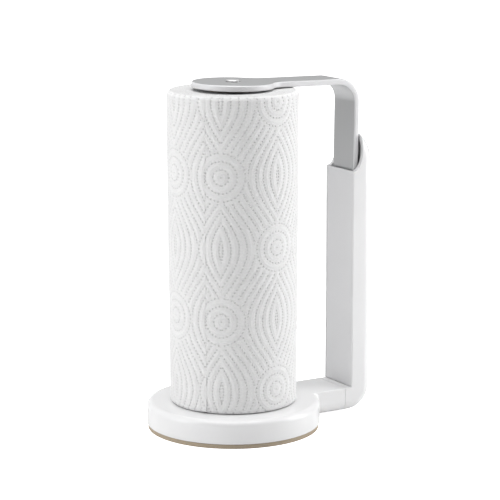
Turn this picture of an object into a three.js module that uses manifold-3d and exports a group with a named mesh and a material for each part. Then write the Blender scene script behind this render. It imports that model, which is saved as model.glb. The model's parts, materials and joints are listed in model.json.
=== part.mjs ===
// Paper towel holder with a spring-loaded clamp arm, loaded with a roll.
// Millimetres, +Z up. The origin is the centre of the base's underside, on the
// roll's axis. The neck and the handle stand towards +X.
import * as THREE from 'three';
import { mergeVertices } from 'three/addons/utils/BufferGeometryUtils.js';
import Module from 'manifold-3d';

const wasm = await Module();
wasm.setup();

// ---------------------------------------------------------------- dimensions

const gap = 0.3;                  // clearance between pieces that touch
const over = 1;                   // how far a cutting body reaches past what it cuts
const weld = 0.2;                 // how far joined parts of one body run into each other

// Base
const base_radius = 72.5;
const base_top = 23.2;            // height of the base's and the neck's top face
const base_edge = 5;              // rounding of the base's top edge
const base_wall = 2.8;
const pad_height = 3.6;
const pad_inset = 0.8;            // how far the pad stays inside the base's wall
const pad_chamfer = 0.5;
const cover_thickness = 2.2;
const ballast_thickness = 8;
const ballast_radius = base_radius - 10.5;
const boss_circle = base_radius - 18.5;  // radius of the circle of the screw bosses
const boss_radius = 4.5;
const boss_count = 4;
const boss_roof = 3;              // solid plastic left over a boss's screw hole

// Arm
const arm_width = 32;
const arm_thickness = 5.2;
const arm_edge = 1.6;             // rounding of the strap's long edges
const arm_bend = 15.5;            // inner radius of the bend
const arm_lean = THREE.MathUtils.degToRad(0.8);
const arm_rise = THREE.MathUtils.degToRad(1.2);
const arm_setback = 3.2;          // from the handle's front to the arm, at column_top
const arm_insertion = 79;         // how far the leg reaches down into the column
const arm_side_room = 1.45;       // beside the arm, inside the column
const disc_radius = 34;
const disc_fillet = 14;           // where the strap widens into the disc

// Handle: one section runs along the neck, round the elbow and up the column
const grip_room = 32.3;           // for the hand, between the base's side and the handle
const handle_front = base_radius + grip_room;
const handle_wall = 2.5;
const handle_ledge = 1.5;         // ledge inside each wall, behind the front cover
const handle_width = arm_width + 2 * (arm_side_room + handle_ledge + handle_wall);
const spring_room = 9.7;          // behind the arm, for the spring and the shoe
const handle_depth = arm_setback + arm_thickness + spring_room + handle_wall;
const handle_corner = 9;          // rounding of the section's outer corners
const seam_x = handle_front - 6.3;  // joint between the base's neck and the handle
const front_cover_thickness = 1.6;

// Horn: the rear wall rises behind the arm and curves forward to meet it
const horn_radius = 26;
const horn_start = 9.8;           // from the front cover's top to the start of the curve
const scoop_depth = 9.4;
const scoop_height = 31.2;

// Roll
const roll_height = 260;
const roll_lift = 0.5;            // the hub carries the roll this far over the base
const roll_radius_high = 54.1;
const roll_radius_low = roll_radius_high - 1.4;
const roll_edge = 3;
const roll_rings = 5;
const core_inner = 20;
const core_wall = 1.6;
const column_drop = 73.7;         // from the roll's top down to the front cover's top

// Turntable and upper plug
const hub_flange_width = 10;      // how far the flange reaches past the core
const hub_flange_thickness = 1.2;
const hub_flange_rise = 0.2;      // how far the flange stands over the base
const hub_recess_room = 0.8;      // round the flange, in the base's recess
const hub_height = 18;
const hub_collar = 4;             // straight part of the hub under its taper
const hub_floor = 3;
const hub_chamfer = 1;
const plug_height = 16;
const plug_wall = 2;
const plug_floor = 3;
const plug_clearance = 1.5;       // radial play of the hub and the plug in the core
const hub_taper = 1.5;
const axle_radius = 3;
const axle_head_radius = 7;
const axle_head_height = 3.2;
const axle_head_edge = 2.5;       // height of the head's straight side
const axle_head_tip = 2;          // radius of the flat on the head
const axle_reach = 7;             // how far the axle goes below the shell's ceiling
const nut_radius = 7;
const nut_height = 5;
const washer_radius = 9;
const washer_thickness = 0.8;
const clip_radius = 6;
const clip_height = 1.2;
const clip_reach = 3.5;           // axle below the plug's floor
const cap_radius = 6;
const cap_height = 1.3;
const cap_rim = 0.5;
const cap_steps = 6;

// Hardware
const screw_radius = 1.6;
const screw_head_radius = 3.1;
const screw_head_height = 1.2;
const screw_length = 9;
const handle_screw_length = 6.5;
const rivet_radius = 2;
const rivet_head_radius = 3.6;
const rivet_head_height = 1.2;
const rivet_spacing = 20;
const rivet_rise = 10;            // from the leg's end to the rivets
const pin_radius = 1.5;
const pin_hold = 1.2;             // how far the anchor pin sits in each side wall
const hook_pin_half = 8.5;
const bracket_thickness = 3;
const bracket_width = 24;
const bracket_bend = 8;           // outer radius of the bracket's bend
const bracket_start = base_radius - 32.5;
const bracket_top = base_top + 31.8;
const bracket_hole_inset = 6;
const bracket_top_inset = 8;
const bracket_screw_spacing = 14;
const bracket_boss_height = 4.4;
const bracket_pad = 2;            // boss on the handle's rear wall, under the bracket
const spring_radius = 3.4;
const spring_wire = 0.6;
const spring_turns = 10;
const spring_gap = 4.4;           // from the leg's rear face to the spring's middle
const spring_shank = 9;           // straight wire between a hook's pin and the coil
const spring_bow = 5.5;           // from a pin to the end of its hook's straight wire
const hook_rise = 1;              // from the leg's end up to the hook pin
const anchor_height = bracket_top + 7;

// Collar and shoe that guide the arm
const bush_drop = 2.5;            // from the front cover's top to the collar
const bush_height = 10;
const shoe_play = 1;              // behind the shoe, in the column
const shoe_rise = 20;
const shoe_drop = 4;
const notch_half = 3.5;           // half the slot for the spring's hook
const notch_rise = 6;

// Facets of round pieces
const large_round = 60;
const medium_round = 30;
const bore_round = 20;
const pin_round = 16;
const small_round = 12;
const corner_steps = 4;

// ------------------------------------------------------------ derived values

const shell_bottom = pad_height + gap;
const shell_ceiling = base_top - base_wall;
const cover_bottom = pad_height + gap;
const cover_top = cover_bottom + cover_thickness;
const ballast_bottom = cover_top + gap;
const ballast_top = ballast_bottom + ballast_thickness;
const boss_bottom = ballast_bottom;
const base_inside = base_radius - base_wall;

const handle_half = handle_width / 2;
const handle_rear = handle_front + handle_depth;
const rear_inside = handle_rear - handle_wall;
const slot_half = handle_half - handle_wall;
const cavity_half = slot_half - handle_ledge;
const ledge_x = handle_front + front_cover_thickness + gap;

const roll_bottom = base_top + roll_lift;
const roll_top = roll_bottom + roll_height;
const disc_under = roll_top + gap + roll_radius_high * Math.tan(arm_rise);
const column_top = roll_top - column_drop;
const leg_x = handle_front + arm_setback;
const leg_end = -arm_insertion;
const rivet_z = leg_end + rivet_rise;

const scoop_centre_z = column_top + scoop_height / 2;
const horn_centre_x = handle_rear - horn_radius;
const horn_z = column_top + horn_start;  // where the rear wall starts to curve forward

const bracket_boss_x = [
  bracket_start + bracket_hole_inset,
  bracket_start + bracket_hole_inset + bracket_screw_spacing,
];
const bracket_floor = shell_ceiling - bracket_boss_height - gap - bracket_thickness;
const bracket_ceiling = bracket_floor + bracket_thickness;
const bracket_rear = rear_inside - bracket_pad - gap;

const hub_radius = core_inner - plug_clearance;
const hub_flange_radius = core_inner + hub_flange_width;
const core_outer = core_inner + core_wall;
const recess_depth = hub_flange_thickness + gap - hub_flange_rise;
const hub_low = base_top - recess_depth + gap;

const bush_top = column_top - bush_drop;
const bush_bottom = bush_top - bush_height;
const shoe_rear = arm_thickness + spring_room - shoe_play;
const shoe_top = leg_end + shoe_rise;
const shoe_bottom = leg_end - shoe_drop;

// The hook pin's place in the leg's own directions, and then in the column
const spring_offset = arm_thickness + spring_gap;
const hook_local_z = leg_end + hook_rise;
const hook_x = leg_x + spring_offset * Math.cos(arm_lean) + hook_local_z * Math.sin(arm_lean);
const hook_z = column_top + hook_local_z * Math.cos(arm_lean) - spring_offset * Math.sin(arm_lean);

// ------------------------------------------------------------------- helpers

// A closed, indexed geometry with shared corners and its faces outward.
function closed(geometry) {
  const bare = geometry.clone();
  bare.deleteAttribute('normal');
  bare.deleteAttribute('uv');
  const merged = mergeVertices(bare, 1e-4);
  const index = merged.index.array;
  const position = merged.attributes.position;
  const a = new THREE.Vector3();
  const b = new THREE.Vector3();
  const c = new THREE.Vector3();
  const kept = [];
  let volume = 0;
  for (let i = 0; i < index.length; i += 3) {
    const [p, q, r] = [index[i], index[i + 1], index[i + 2]];
    if (p === q || q === r || r === p) continue;
    kept.push(p, q, r);
    a.fromBufferAttribute(position, p);
    b.fromBufferAttribute(position, q);
    c.fromBufferAttribute(position, r);
    volume += a.dot(b.cross(c));
  }
  if (volume < 0) kept.reverse();
  merged.setIndex(kept);
  return merged;
}

function solid(geometry) {
  const shape = closed(geometry);
  return new wasm.Manifold(new wasm.Mesh({
    numProp: 3,
    vertProperties: new Float32Array(shape.attributes.position.array),
    triVerts: new Uint32Array(shape.index.array),
  }));
}

function fromSolid(body) {
  const mesh = body.getMesh();
  const geometry = new THREE.BufferGeometry();
  geometry.setAttribute('position', new THREE.BufferAttribute(new Float32Array(mesh.vertProperties), 3));
  geometry.setIndex(new THREE.BufferAttribute(new Uint32Array(mesh.triVerts), 1));
  return geometry;
}

function box(x0, x1, y0, y1, z0, z1) {
  const geometry = new THREE.BoxGeometry(x1 - x0, y1 - y0, z1 - z0);
  return geometry.translate((x0 + x1) / 2, (y0 + y1) / 2, (z0 + z1) / 2);
}

// Solids of revolution: the profile is a list of [radius, height] pairs.
function latheZ(profile, segments) {
  const points = profile.map(([r, z]) => new THREE.Vector2(r, z));
  return new THREE.LatheGeometry(points, segments).rotateX(Math.PI / 2);
}

function latheX(profile, segments) {
  const points = profile.map(([r, x]) => new THREE.Vector2(r, x));
  return new THREE.LatheGeometry(points, segments).rotateZ(-Math.PI / 2);
}

function rodZ(radius, z0, z1, segments, x = 0, y = 0) {
  const rod = latheZ([[0, z0], [radius, z0], [radius, z1], [0, z1]], segments);
  return rod.translate(x, y, 0);
}

function rodX(radius, x0, x1, segments, y = 0, z = 0) {
  const rod = latheX([[0, x0], [radius, x0], [radius, x1], [0, x1]], segments);
  return rod.translate(0, y, z);
}

function rodY(radius, y0, y1, segments, x = 0, z = 0) {
  const rod = new THREE.CylinderGeometry(radius, radius, y1 - y0, segments);
  return rod.translate(x, (y0 + y1) / 2, z);
}

// Extrusions: a shape drawn in X and Z runs along Y, one drawn in Y and Z along X.
function extrudeY(shape, y0, y1, curveSegments = 8) {
  const options = { depth: y1 - y0, bevelEnabled: false, curveSegments };
  return new THREE.ExtrudeGeometry(shape, options).rotateX(Math.PI / 2).translate(0, y1, 0);
}

function extrudeX(shape, x0, x1, curveSegments = 8) {
  const toX = new THREE.Matrix4().makeBasis(
    new THREE.Vector3(0, 1, 0), new THREE.Vector3(0, 0, 1), new THREE.Vector3(1, 0, 0));
  const options = { depth: x1 - x0, bevelEnabled: false, curveSegments };
  return new THREE.ExtrudeGeometry(shape, options).applyMatrix4(toX).translate(x0, 0, 0);
}

function extrudeZ(shape, z0, z1, curveSegments = 8) {
  const options = { depth: z1 - z0, bevelEnabled: false, curveSegments };
  return new THREE.ExtrudeGeometry(shape, options).translate(0, 0, z0);
}

function polygon(points) {
  return new THREE.Shape(points.map(([x, y]) => new THREE.Vector2(x, y)));
}

// A quarter arc's points around a centre, both ends included.
function arcPoints(cx, cy, radius, from, to, steps) {
  const points = [];
  for (let i = 0; i <= steps; i += 1) {
    const angle = from + (to - from) * i / steps;
    points.push([cx + radius * Math.cos(angle), cy + radius * Math.sin(angle)]);
  }
  return points;
}

// A piece with a bore along an axis: closed profile of a ring.
function ring(inner, outer, z0, z1, segments) {
  return latheZ([[inner, z0], [outer, z0], [outer, z1], [inner, z1], [inner, z0]], segments);
}

// The handle's section: depth u from the front face, width v across.
function sectionPoints(half, front, rear, corner) {
  const steps = corner_steps;
  return [
    [front, -half],
    ...arcPoints(rear - corner, corner - half, corner, -Math.PI / 2, 0, steps),
    ...arcPoints(rear - corner, half - corner, corner, 0, Math.PI / 2, steps),
    [front, half],
  ];
}

// ------------------------------------------------------------------ materials

function material(colour, roughness, metalness) {
  return new THREE.MeshStandardMaterial({ color: colour, roughness, metalness });
}

const gloss_white = () => material(0xf4f4f4, 0.22, 0);
const cover_white = () => material(0xededee, 0.4, 0);
const grey_plastic = () => material(0x9a9ca0, 0.5, 0);
const satin_metal = () => material(0xbfc1c4, 0.35, 0.9);
const polished_metal = () => material(0xe8e9ea, 0.15, 1);
const zinc_steel = () => material(0x9fa3a8, 0.4, 0.9);
const cast_ballast = () => material(0x55585c, 0.7, 0.6);
const tan_rubber = () => material(0xa59680, 0.8, 0);
const paper_white = () => material(0xf3f3f3, 0.95, 0);
const core_board = () => material(0xa98a64, 0.9, 0);

const holder = new THREE.Group();

function add(name, geometry, look, parent = holder) {
  const mesh = new THREE.Mesh(geometry, look);
  mesh.name = name;
  parent.add(mesh);
  return mesh;
}

// ----------------------------------------------------------------------- base

function bossPlaces() {
  const places = [];
  for (let i = 0; i < boss_count; i += 1) {
    const angle = Math.PI / boss_count + i * 2 * Math.PI / boss_count;
    places.push([boss_circle * Math.cos(angle), boss_circle * Math.sin(angle)]);
  }
  return places;
}

function baseShell() {
  const skin = solid(latheZ([
    [0, base_top],
    ...arcPoints(base_radius - base_edge, base_top - base_edge, base_edge, Math.PI / 2, 0, corner_steps),
    [base_radius, shell_bottom],
    [base_inside, shell_bottom],
    [base_inside, shell_ceiling - base_wall],
    [base_inside - base_wall, shell_ceiling],
    [0, shell_ceiling],
  ], large_round));

  const neck_shape = polygon(sectionPoints(handle_half, 0, handle_depth, handle_corner)
    .map(([u, v]) => [v, base_top - u]));
  const neck_end = seam_x - gap / 2;
  let neck = solid(extrudeX(neck_shape, base_radius - base_edge - 2 * base_wall, neck_end));
  neck = neck.subtract(solid(rodZ(base_radius, -over, shell_bottom, large_round)));
  neck = neck.subtract(solid(rodZ(base_inside, -over, shell_ceiling, large_round)));

  const bore_shape = polygon(sectionPoints(
    slot_half, handle_wall, handle_depth - handle_wall, handle_corner - handle_wall)
    .map(([u, v]) => [v, base_top - u]));
  const bore_start = bracket_boss_x[1] + boss_radius + gap;
  let neck_bore = solid(extrudeX(bore_shape, bore_start, neck_end + over));
  neck_bore = neck_bore.subtract(solid(
    rodZ(base_radius, -over, shell_bottom + base_wall, large_round)));

  let shell = skin.add(neck).subtract(neck_bore);
  for (const [x, y] of bossPlaces()) {
    shell = shell.add(solid(rodZ(boss_radius, boss_bottom, shell_ceiling + over, pin_round, x, y)));
    shell = shell.subtract(solid(
      rodZ(screw_radius + gap, boss_bottom - over, shell_ceiling - boss_roof, small_round, x, y)));
  }
  for (const x of bracket_boss_x) {
    shell = shell.add(solid(rodZ(boss_radius, bracket_ceiling + gap, shell_ceiling + over, pin_round, x)));
    shell = shell.subtract(solid(
      rodZ(screw_radius + gap, bracket_ceiling, shell_ceiling + over, small_round, x)));
  }
  const recess = solid(rodZ(
    hub_flange_radius + hub_recess_room, base_top - recess_depth, base_top + over, large_round));
  const axle_bore = solid(rodZ(axle_radius + gap, shell_ceiling - over, base_top + over, bore_round));
  return shell.subtract(recess).subtract(axle_bore);
}

function bottomCover() {
  let plate = solid(rodZ(base_inside - gap, cover_bottom, cover_top, large_round));
  for (const [x, y] of bossPlaces()) {
    plate = plate.subtract(solid(
      rodZ(screw_radius + gap, cover_bottom - over, cover_top + over, small_round, x, y)));
    plate = plate.subtract(solid(rodZ(
      screw_head_radius + gap, cover_bottom - over, cover_bottom + screw_head_height + gap,
      pin_round, x, y)));
  }
  return plate;
}

function ballastPlate() {
  let plate = solid(rodZ(ballast_radius, ballast_bottom, ballast_top, large_round));
  for (const [x, y] of bossPlaces()) {
    plate = plate.subtract(solid(
      rodZ(boss_radius + gap, ballast_bottom - over, ballast_top + over, pin_round, x, y)));
  }
  const axle_room = solid(rodZ(
    nut_radius + 3, ballast_bottom - over, ballast_top + over, medium_round));
  const room_half = bracket_width / 2 + 1;
  const bracket_room = solid(box(
    bracket_start - 1, ballast_radius + over, -room_half, room_half,
    ballast_bottom - over, ballast_top + over));
  return plate.subtract(axle_room).subtract(bracket_room);
}

function antislipPad() {
  const radius = base_radius - pad_inset;
  return latheZ([
    [0, 0],
    [radius - pad_chamfer, 0],
    [radius, pad_chamfer],
    [radius, pad_height],
    [0, pad_height],
  ], large_round);
}

// A pan-head screw along +Z, its head's underside at z = 0.
function screw(length) {
  return latheZ([
    [0, -screw_head_height],
    [screw_head_radius, -screw_head_height],
    [screw_head_radius, 0],
    [screw_radius, 0],
    [screw_radius, length - screw_radius],
    [0, length],
  ], small_round);
}

function addBase() {
  add('base_shell', fromSolid(baseShell()), gloss_white());
  add('ballast_plate', fromSolid(ballastPlate()), cast_ballast());
  add('bottom_cover', fromSolid(bottomCover()), grey_plastic());
  add('antislip_pad', closed(antislipPad()), tan_rubber());
  const head_z = cover_bottom + screw_head_height;
  bossPlaces().forEach(([x, y], i) => {
    const fastener = add(`cover_screw_${i + 1}`, closed(screw(screw_length)), zinc_steel());
    fastener.position.set(x, y, head_z);
  });
}

// ------------------------------------------------------------ handle bracket

// The steel angle that ties the handle to the base.
function handleBracket() {
  const inner_bend = bracket_bend - bracket_thickness;
  const corner_x = bracket_rear - bracket_bend;
  const corner_z = bracket_floor + bracket_bend;
  const bend_steps = 6;
  const profile = polygon([
    [bracket_start, bracket_floor],
    ...arcPoints(corner_x, corner_z, bracket_bend, -Math.PI / 2, 0, bend_steps),
    [bracket_rear, bracket_top],
    [bracket_rear - bracket_thickness, bracket_top],
    ...arcPoints(corner_x, corner_z, inner_bend, 0, -Math.PI / 2, bend_steps),
    [bracket_start, bracket_ceiling],
  ]);
  const half = bracket_width / 2;
  let angle = solid(extrudeY(profile, -half, half));
  for (const x of bracket_boss_x) {
    angle = angle.subtract(solid(
      rodZ(screw_radius + gap, bracket_floor - over, bracket_ceiling + over, small_round, x)));
  }
  for (const z of bracketHandleScrews()) {
    angle = angle.subtract(solid(
      rodX(screw_radius + gap, bracket_rear - bracket_thickness - over, bracket_rear + over,
        small_round, 0, z)));
  }
  return angle;
}

function bracketHandleScrews() {
  const top_screw = bracket_top - bracket_top_inset;
  return [top_screw - bracket_screw_spacing, top_screw];
}

function addBracket() {
  add('handle_bracket', fromSolid(handleBracket()), zinc_steel());
  bracket_boss_x.forEach((x, i) => {
    const fastener = add(`bracket_base_screw_${i + 1}`, closed(screw(screw_length)), zinc_steel());
    fastener.position.set(x, 0, bracket_floor - gap);
  });
  const front = bracket_rear - bracket_thickness;
  bracketHandleScrews().forEach((z, i) => {
    const fastener = add(`bracket_handle_screw_${i + 1}`, closed(screw(handle_screw_length)), zinc_steel());
    fastener.position.set(front - gap, 0, z);
    fastener.rotation.y = Math.PI / 2;
  });
}

// --------------------------------------------------------------------- handle

// The section run along the neck's stub, round the elbow and up the column.
function handleSweep(half, front, rear, corner, stub_from, top) {
  const section = sectionPoints(half, front, rear, corner);
  const stub = solid(extrudeX(
    polygon(section.map(([u, v]) => [v, base_top - u])), stub_from, handle_front + 0.01));
  const column = solid(extrudeZ(
    polygon(section.map(([u, v]) => [handle_front + u, v])), base_top - 0.01, top));
  const profile = section.map(([u, v]) => new THREE.Vector2(u, v));
  if (front > 0) profile.push(profile[0].clone());
  const barrel = solid(new THREE.LatheGeometry(profile, large_round).translate(handle_front, 0, base_top));
  const reach = handle_depth + over;
  const quarter = solid(box(
    handle_front, handle_front + reach, -handle_half - over, handle_half + over,
    base_top - reach, base_top));
  return stub.add(barrel.intersect(quarter)).add(column);
}

// The horn: the section's outer part turned about the centre of the curve.
function hornBody() {
  const profile = sectionPoints(handle_half, 0, horn_radius, handle_corner)
    .map(([r, v]) => new THREE.Vector2(r, v));
  const barrel = solid(new THREE.LatheGeometry(profile, large_round).translate(horn_centre_x, 0, horn_z));
  const reach = horn_radius + over;
  const quarter = solid(box(
    handle_front, horn_centre_x + reach, -handle_half - over, handle_half + over,
    horn_z - 0.01, horn_z + reach));
  return barrel.intersect(quarter);
}

// Distance from the roll's axis to the arm's rear face at a height in the column.
function armRear(z) {
  return leg_x + (z - column_top) * Math.tan(arm_lean) + arm_thickness / Math.cos(arm_lean);
}

function scoopCut() {
  const scoop = new THREE.Shape();
  scoop.absellipse(handle_front, scoop_centre_z, scoop_depth, scoop_height / 2, 0, 2 * Math.PI, false, 0);
  const wide = handle_half + over;
  const ellipse = solid(extrudeY(scoop, -wide, wide, 20));
  const above = solid(box(
    handle_front - over, armRear(scoop_centre_z) + 2 * gap, -wide, wide,
    scoop_centre_z, horn_z + horn_radius + over));
  return ellipse.add(above);
}

function columnShell() {
  const outer = handleSweep(
    handle_half, 0, handle_depth, handle_corner, seam_x + gap / 2, horn_z);
  const inner_corner = handle_corner - handle_wall;
  const inside = handleSweep(
    cavity_half, handle_wall, handle_depth - handle_wall, inner_corner, seam_x - over,
    horn_z + over);
  let shell = outer.add(hornBody()).subtract(inside).subtract(hornCavity());
  const front_slot = solid(box(
    handle_front - over, ledge_x, -slot_half, slot_half, base_top, horn_z));
  const front_room = solid(box(
    handle_front - over, handle_front + handle_depth / 2, -cavity_half, cavity_half,
    base_top, horn_z));
  shell = shell.subtract(front_slot).subtract(front_room).subtract(scoopCut());
  for (const z of bracketHandleScrews()) {
    shell = shell.add(solid(
      rodX(boss_radius, rear_inside - bracket_pad, rear_inside + handle_wall / 5, pin_round, 0, z)));
    shell = shell.subtract(solid(rodX(
      screw_radius + gap, rear_inside - bracket_pad - over, rear_inside + 0.6 * handle_wall,
      small_round, 0, z)));
  }
  const pin_hole_half = cavity_half + pin_hold + gap;
  return shell.subtract(solid(rodY(
    pin_radius + gap, -pin_hole_half, pin_hole_half, pin_round, hook_x, anchor_height)));
}

// The hollow behind the arm, inside the horn.
function hornCavity() {
  const profile = sectionPoints(
    cavity_half, 0, horn_radius - handle_wall, handle_corner - handle_wall)
    .map(([r, v]) => new THREE.Vector2(r, v));
  const barrel = solid(new THREE.LatheGeometry(profile, large_round).translate(horn_centre_x, 0, horn_z));
  const reach = horn_radius + over;
  const quarter = solid(box(
    horn_centre_x, horn_centre_x + reach, -handle_half, handle_half, horn_z - 0.5, horn_z + reach));
  return barrel.intersect(quarter);
}

function columnCover() {
  const half = slot_half - gap;
  return box(
    handle_front, handle_front + front_cover_thickness, -half, half, base_top + gap, column_top);
}

// Collar that guides the arm's leg at the column's mouth.
function guideBush() {
  const half = cavity_half - gap;
  const collar = solid(box(
    ledge_x, rear_inside - gap, -half, half, bush_bottom, bush_top));
  const corner_cut = extrudeZ(polygon(sectionPoints(
    half, 0, handle_depth - handle_wall - gap, handle_corner - handle_wall)
    .map(([u, v]) => [handle_front + u, v])), bush_bottom - over, bush_top + over);
  const slot_y = arm_width / 2 + gap;
  const slot = box(-gap, arm_thickness + gap, -slot_y, slot_y, -2 * bush_height, bush_height);
  slot.rotateY(arm_lean).translate(leg_x, 0, column_top);
  return collar.intersect(solid(corner_cut)).subtract(solid(slot));
}

// ------------------------------------------------------------- spring and pins

function springPath() {
  const hook = pin_radius + gap + spring_wire;
  const coil_bottom = anchor_height + spring_shank;
  const coil_top = hook_z - spring_shank;
  const hook_steps = 7;
  const hook_sweep = 1.25 * Math.PI;
  const turn_steps = 8;
  const points = [];
  const upright = (x, z) => points.push(new THREE.Vector3(hook_x + x, 0, z));
  for (let i = 0; i <= hook_steps; i += 1) {
    const angle = Math.PI + i * hook_sweep / hook_steps;
    upright(hook * Math.cos(angle), anchor_height + hook * Math.sin(angle));
  }
  upright(0, anchor_height + spring_bow);
  const steps = spring_turns * turn_steps;
  for (let i = 0; i <= steps; i += 1) {
    const angle = i * 2 * Math.PI / turn_steps;
    const z = coil_bottom + (coil_top - coil_bottom) * i / steps;
    points.push(new THREE.Vector3(
      hook_x + spring_radius * Math.cos(angle), spring_radius * Math.sin(angle), z));
  }
  upright(0, hook_z - spring_bow);
  for (let i = 0; i <= hook_steps; i += 1) {
    const angle = -0.25 * Math.PI + i * hook_sweep / hook_steps;
    upright(hook * Math.cos(angle), hook_z + hook * Math.sin(angle));
  }
  return new THREE.CatmullRomCurve3(points, false, 'centripetal');
}

function returnSpring() {
  const wire = polygon(arcPoints(0, 0, spring_wire, 0, 1.6 * Math.PI, 4));
  return new THREE.ExtrudeGeometry(wire, {
    extrudePath: springPath(),
    steps: 110,
    bevelEnabled: false,
  });
}

function addHandle() {
  add('column_shell', fromSolid(columnShell()), gloss_white());
  add('column_cover', closed(columnCover()), cover_white());
  add('guide_bush', fromSolid(guideBush()), grey_plastic());
  const pin_half = cavity_half + pin_hold;
  add('spring_anchor_pin', closed(rodY(
    pin_radius, -pin_half, pin_half, pin_round, hook_x, anchor_height)), zinc_steel());
  add('return_spring', closed(returnSpring()), zinc_steel());
}

// ------------------------------------------------------------------------ arm

// The bend's centre lies one bend radius from the leg's and the run's inner faces.
function bendCentre() {
  const up = [Math.sin(arm_rise), Math.cos(arm_rise)];
  const out = [Math.cos(arm_lean), -Math.sin(arm_lean)];
  const from_run = disc_under * up[1] - arm_bend;
  const from_leg = leg_x * out[0] + column_top * out[1] - arm_bend;
  const scale = up[0] * out[1] - up[1] * out[0];
  const x = (from_run * out[1] - up[1] * from_leg) / scale;
  const z = (up[0] * from_leg - from_run * out[0]) / scale;
  return [x, z];
}

function roundedBar(half_width, low, high, radius) {
  const steps = 2;
  return [
    ...arcPoints(high - radius, half_width - radius, radius, 0, Math.PI / 2, steps),
    ...arcPoints(low + radius, half_width - radius, radius, Math.PI / 2, Math.PI, steps),
    ...arcPoints(low + radius, radius - half_width, radius, Math.PI, 1.5 * Math.PI, steps),
    ...arcPoints(high - radius, radius - half_width, radius, 1.5 * Math.PI, 2 * Math.PI, steps),
  ];
}

// Plan of the disc and the strap, with the rounding's width left off all round.
function armPlan(length) {
  const half = arm_width / 2;
  const fillet_y = half + disc_fillet;
  const fillet_x = Math.sqrt((disc_radius + disc_fillet) ** 2 - fillet_y ** 2);
  const turn = Math.atan2(fillet_y, fillet_x);
  const inset_fillet = disc_fillet + arm_edge;
  const plan = new THREE.Shape();
  plan.absarc(0, 0, disc_radius - arm_edge, turn, 2 * Math.PI - turn, false);
  plan.absarc(fillet_x, -fillet_y, inset_fillet, Math.PI - turn, Math.PI / 2, true);
  plan.lineTo(length, arm_edge - half);
  plan.lineTo(length, half - arm_edge);
  plan.absarc(fillet_x, fillet_y, inset_fillet, 1.5 * Math.PI, Math.PI + turn, true);
  return plan;
}

function armStrap() {
  const [cx, cz] = bendCentre();
  const along = cx * Math.cos(arm_rise) - (cz - disc_under) * Math.sin(arm_rise);
  const down = (cx - leg_x) * Math.sin(arm_lean) + (cz - column_top) * Math.cos(arm_lean);
  const half = arm_width / 2;

  const run_blank = new THREE.ExtrudeGeometry(armPlan(along + arm_bend), {
    depth: arm_thickness - 2 * arm_edge,
    bevelSize: arm_edge,
    bevelThickness: arm_edge,
    bevelSegments: 2,
    curveSegments: 12,
  }).translate(0, 0, arm_edge);
  const clear = disc_radius + over;
  const run_limit = box(-clear, along + weld, -clear, clear, -over, arm_thickness + over);
  let run = solid(run_blank).intersect(solid(run_limit));
  const axle_bore = solid(rodZ(axle_radius + gap, -over, arm_thickness + over, bore_round));
  run = run.subtract(axle_bore);
  run = run.rotate([0, THREE.MathUtils.radToDeg(arm_rise), 0]).translate([0, 0, disc_under]);

  const bend_profile = roundedBar(half, arm_bend, arm_bend + arm_thickness, arm_edge);
  bend_profile.push(bend_profile[0]);
  const bend_ring = new THREE.LatheGeometry(
    bend_profile.map(([r, y]) => new THREE.Vector2(r, y)), large_round).translate(cx, 0, cz);
  const reach = 2 * (arm_bend + arm_thickness);
  const sector = polygon([
    [cx, cz],
    [cx + reach * Math.cos(arm_lean), cz - reach * Math.sin(arm_lean)],
    [cx + reach, cz + reach],
    [cx + reach * Math.sin(arm_rise), cz + reach * Math.cos(arm_rise)],
  ]);
  const bend = solid(bend_ring).intersect(solid(extrudeY(sector, -half - over, half + over)));

  const leg_section = polygon(roundedBar(half, 0, arm_thickness, arm_edge));
  let leg = solid(extrudeZ(leg_section, leg_end, down + weld));
  for (const y of rivetPlaces()) {
    leg = leg.subtract(solid(
      rodX(rivet_radius + gap, -over, arm_thickness + over, pin_round, y, rivet_z)));
    leg = leg.subtract(solid(rodX(
      rivet_head_radius + gap, -over, rivet_head_height + 2 * gap, bore_round, y, rivet_z)));
  }
  leg = leg.rotate([0, THREE.MathUtils.radToDeg(arm_lean), 0]).translate([leg_x, 0, column_top]);
  return run.add(bend).add(leg);
}

function rivetPlaces() {
  return [-rivet_spacing / 2, rivet_spacing / 2];
}

// Plastic shoe behind and under the leg: it runs in the column and holds the spring.
function sliderShoe() {
  const half = cavity_half - gap;
  const profile = polygon([
    [0, shoe_bottom],
    [shoe_rear, shoe_bottom],
    [shoe_rear, shoe_top],
    [arm_thickness + gap, shoe_top],
    [arm_thickness + gap, leg_end - gap],
    [0, leg_end - gap],
  ]);
  const plan = polygon(sectionPoints(half, 0, shoe_rear, handle_corner - handle_wall));
  let shoe = solid(extrudeY(profile, -half, half));
  shoe = shoe.intersect(solid(extrudeZ(plan, shoe_bottom - over, shoe_top + over)));
  const notch = box(
    arm_thickness + gap, shoe_rear + over, -notch_half, notch_half,
    shoe_bottom - over, hook_local_z + notch_rise);
  shoe = shoe.subtract(solid(notch));
  shoe = shoe.subtract(solid(rodY(
    pin_radius + gap, -hook_pin_half - 0.5, hook_pin_half + 0.5, pin_round,
    spring_offset, hook_local_z)));
  for (const y of rivetPlaces()) {
    shoe = shoe.subtract(solid(rodX(rivet_radius + gap, 0, shoe_rear + over, pin_round, y, rivet_z)));
    shoe = shoe.subtract(solid(rodX(
      rivet_head_radius + gap, shoe_rear - rivet_head_height - 2 * gap, shoe_rear + over,
      bore_round, y, rivet_z)));
  }
  return shoe;
}

function shoeRivet() {
  const front = gap;
  const rear = shoe_rear - gap;
  return latheX([
    [0, front],
    [rivet_head_radius, front],
    [rivet_head_radius, front + rivet_head_height],
    [rivet_radius, front + rivet_head_height],
    [rivet_radius, rear - rivet_head_height],
    [rivet_head_radius, rear - rivet_head_height],
    [rivet_head_radius, rear],
    [0, rear],
  ], pin_round);
}

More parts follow.
